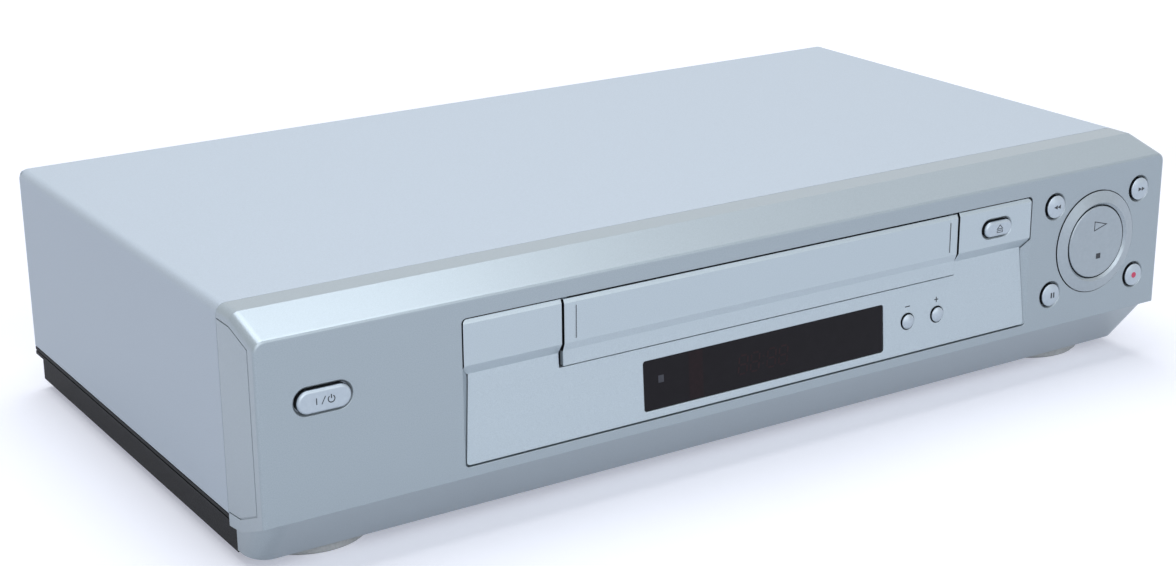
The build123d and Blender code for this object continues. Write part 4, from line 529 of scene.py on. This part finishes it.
power_place = np.array((-190.3, 68.1))
turn = np.linspace(np.radians(125), np.radians(415), 33)
ring = np.stack([np.cos(turn), np.sin(turn)], axis=1) * 1.25 + power_place + (2.4, -0.1)
print_sign("power_sign", [
    bar(power_place + (-3.2, -1.2), power_place + (-3.2, 1.2), 0.38),
    bar(power_place + (-1.3, -1.4), power_place + (0.2, 1.4), 0.32),
    stroke(ring, 0.40, steps=3),
    bar(power_place + (2.4, 0.1), power_place + (2.4, 1.6), 0.40),
], level(CAP_FACE), "power", dark_ink)

# %% [markdown]
# ## Signs on the sloping panel
# A minus and a plus stand above the two channel keys. The panel below the step leans back as
# it goes up, so their depth grows evenly from the panel's foot to the step.

# %% Minus, plus
FOOT_UP, FOOT_DEPTH = 29.5, 0.4          # the leaning panel's lower edge, mm
STEP_UP, STEP_DEPTH = 63.7, 2.7          # and its upper edge, at the step


def panel(sunk=0.0):
    """Depth of the leaning panel, growing evenly from its foot to the step, plus a sinking."""
    lean_back = (STEP_DEPTH - FOOT_DEPTH) / (STEP_UP - FOOT_UP)
    return lambda across, up: sunk + FOOT_DEPTH + (up - FOOT_UP) * lean_back + 0 * across


print_sign("channel_signs", [
    bar((71.2, 49.4), (73.7, 49.4), 0.45),
    bar((86.9, 49.5), (89.0, 49.5), 0.45),
    bar((87.95, 48.4), (87.95, 50.6), 0.45),
], panel(), "case", dark_ink)

# %% [markdown]
# ## What shows through the window
# Behind the smoked acrylic, at the very edge of seeing, are the remote sensor's grey lens, a
# strip of red filter film and the unlit figures of the clock. Light crosses the dye twice, so
# each keeps only a trace of its own colour. They are drawn as films on the window's face in
# those traces of colour, which costs nothing and never turns noisy.

# %% Sensor, filter strip, unlit figures
def trace(name, light, dark):
    """A colour seen through the smoked acrylic, as glossy as the window itself."""
    made, tree, shader = start_material(name, IOR=1.49, Specular_IOR_Level=0.14)
    grain(tree, shader, light, dark, 2.0, (0.08, 0.12))
    return made


window_face = panel(sunk=0.3)
print_sign("sensor_lens", [bar((-50.7, 44.3), (-48.2, 44.3), 2.9)], window_face, "case",
           trace("sensor_behind_smoke", "#4b4d55", "#41434a"))
print_sign("filter_strip", [bar((-33.2, 33.2), (-33.2, 52.1), 6.6)], window_face, "case",
           trace("red_film_behind_smoke", "#22151a", "#1c1317"))

figure_wide, figure_tall, figure_foot = 4.0, 7.4, 38.2      # mm
lean, end_gap, line = 0.12, 0.16, 0.75   # slant, share left free at a bar's ends, bar's width
ends = {"top": ((0, 2), (1, 2)), "middle": ((0, 1), (1, 1)), "foot": ((0, 0), (1, 0)),
        "left_up": ((0, 1), (0, 2)), "left_down": ((0, 0), (0, 1)),
        "right_up": ((1, 1), (1, 2)), "right_down": ((1, 0), (1, 1))}
figures = []
for left in (-13.3, -7.5, 0.5, 6.3):
    for pair in ends.values():
        near, far = (np.array(end) * (figure_wide, figure_tall / 2) for end in pair)
        near, far = near + end_gap * (far - near), far - end_gap * (far - near)
        near, far = (point + (left + lean * point[1], figure_foot) for point in (near, far))
        figures.append(bar(near, far, line))
figures += [bar((x, z), (x + 0.7, z), 0.7) for x, z in ((-1.6, 40.4), (-1.3, 43.4))]
print_sign("clock_figures", figures, window_face, "case",
           trace("figures_behind_smoke", "#29191d", "#22161a"))

signs = [piece for piece in bpy.data.objects if piece.name not in nodes and piece.type == "MESH"]
print(len(signs), "signs,", sum(len(piece.data.polygons) for piece in signs), "faces")

# %% [markdown]
# ## Camera
# The recorder is seen from in front, to its left and a little above. A lens long for this
# sensor stands well back, which keeps the far end from shrinking too much. The camera's three
# axes are written out: it looks down and to the right, and its right-hand side dips by less
# than half a degree, as in a picture taken by hand.

# %% Camera
camera_place = Vector((-0.47358, -0.73219, 0.33367))
camera_right = Vector((0.84119, -0.54069, -0.00747))
camera_up = Vector((0.17863, 0.26482, 0.94761))
lens_mm = 64.53

camera_back = camera_right.cross(camera_up).normalized()
camera_up = camera_back.cross(camera_right).normalized()
camera_data = bpy.data.cameras.new("camera")
camera_data.lens, camera_data.sensor_width = lens_mm, 36.0
camera = bpy.data.objects.new("camera", camera_data)
axes = Matrix((camera_right.normalized(), camera_up, camera_back)).transposed().to_4x4()
camera.matrix_world = Matrix.Translation(camera_place) @ axes
bpy.context.scene.collection.objects.link(camera)
bpy.context.scene.camera = camera
dip = degrees(asin(-camera_right.z))
print("lens", lens_mm, "mm, looking", [round(-value, 3) for value in camera_back],
      "dip", round(dip, 2), "degrees")

# %% [markdown]
# ## A background that is white only when looked at
# The white of the surroundings must not light the recorder. So it is shown to rays that come
# from the camera, from a mirror or through glass, and kept from the plain light that colours
# the surfaces. Metal and glass then show the same white that the picture has around them.

# %% Rays that look at the background
def looked_at(tree):
    """One for rays from the camera, from a mirror or through glass, and zero for plain light."""
    path = add_node(tree, "ShaderNodeLightPath").outputs
    mirrored = add_node(tree, "ShaderNodeMath", {
        0: path["Is Glossy Ray"], 1: path["Is Transmission Ray"]}, operation="MAXIMUM").outputs[0]
    return add_node(tree, "ShaderNodeMath", {0: path["Is Camera Ray"], 1: mirrored},
                    operation="MAXIMUM").outputs[0]


# %% [markdown]
# ## Floor
# The recorder stands on a white sweep. The floor is an ordinary matt surface, so it takes the
# shadow, and for the rays above it also glows. Near the recorder the glow is weak, or it would
# wash the shadow out; it grows to full white further off, where floor and room must meet
# without a line.

# %% Floor
table_size = 6.0
near_radius, far_radius = 0.5, 1.6       # metres; the glow grows between these
near_glow, far_glow = 0.40, 1.0
corner = table_size / 2
floor_mesh = bpy.data.meshes.new("floor")
floor_mesh.from_pydata(
    [(-corner, -corner, 0), (corner, -corner, 0), (corner, corner, 0), (-corner, corner, 0)],
    [], [(0, 1, 2, 3)])
floor = bpy.data.objects.new("floor", floor_mesh)
bpy.context.scene.collection.objects.link(floor)

floor_white, tree, shader = start_material("matt_white_sweep", Roughness=0.9,
                                           Specular_IOR_Level=0.1)
shader.inputs["Base Color"].default_value = colour("#dadbde")
place = add_node(tree, "ShaderNodeTexCoord").outputs["Object"]
distance = add_node(tree, "ShaderNodeVectorMath", {0: place}, operation="LENGTH").outputs["Value"]
fade = add_node(tree, "ShaderNodeMapRange", {
    "Value": distance, "From Min": near_radius, "From Max": far_radius,
    "To Min": near_glow, "To Max": far_glow}).outputs[0]
glow_strength = add_node(tree, "ShaderNodeMath", {0: looked_at(tree), 1: fade},
                         operation="MULTIPLY").outputs[0]
glow = add_node(tree, "ShaderNodeEmission", {"Color": colour("#eceffe"),
                                              "Strength": glow_strength})
both = add_node(tree, "ShaderNodeAddShader", {0: shader.outputs[0], 1: glow.outputs[0]})
tree.links.new(both.outputs[0], tree.nodes["Material Output"].inputs["Surface"])
floor_mesh.materials.append(floor_white)

# %% [markdown]
# ## Room
# The room is white to look at and a dim, slightly cool light in all directions otherwise.

# %% Room
world = bpy.data.worlds.new("white_room")
bpy.context.scene.world = world
world.use_nodes = True
tree = world.node_tree
tree.nodes.clear()
soft = add_node(tree, "ShaderNodeBackground", {"Color": colour("#eef2f6"), "Strength": 0.20})
white = add_node(tree, "ShaderNodeBackground", {"Color": (1, 1, 1, 1), "Strength": 1.0})
seen = looked_at(tree)
shown = add_node(tree, "ShaderNodeMixShader", {0: seen, 1: soft.outputs[0], 2: white.outputs[0]})
add_node(tree, "ShaderNodeOutputWorld", {"Surface": shown.outputs[0]})

# %% [markdown]
# ## Lamps
# Three large soft lamps: one overhead, one in front to the left and one in front, high and wide.
# They are large rather than strong, because paint with flake in it mirrors a small lamp as a
# burnt-out patch.

# %% Lamps
lamp_white = "#f9fbff"


def add_lamp(name, place, size, watts, aim=(0, 0, 0.05)):
    """A square area lamp in metres, turned to face the aim point."""
    data = bpy.data.lights.new(name, "AREA")
    data.shape, data.size, data.energy = "SQUARE", size, watts
    data.color = colour(lamp_white)[:3]
    lamp = bpy.data.objects.new(name, data)
    direction = Vector(aim) - Vector(place)
    lamp.matrix_world = (Matrix.Translation(place)
                         @ direction.to_track_quat("-Z", "Y").to_matrix().to_4x4())
    bpy.context.scene.collection.objects.link(lamp)


add_lamp("overhead", (0.0, 0.3, 1.7), 1.6, 27)
add_lamp("left_key", (-0.7, -1.2, 0.80), 1.4, 7.5, aim=(-0.1, -0.12, 0.05))
add_lamp("front_low", (0.25, -1.9, 1.05), 2.0, 12.5, aim=(0.0, -0.12, 0.20))
bpy.context.scene.view_settings.view_transform = "Standard"
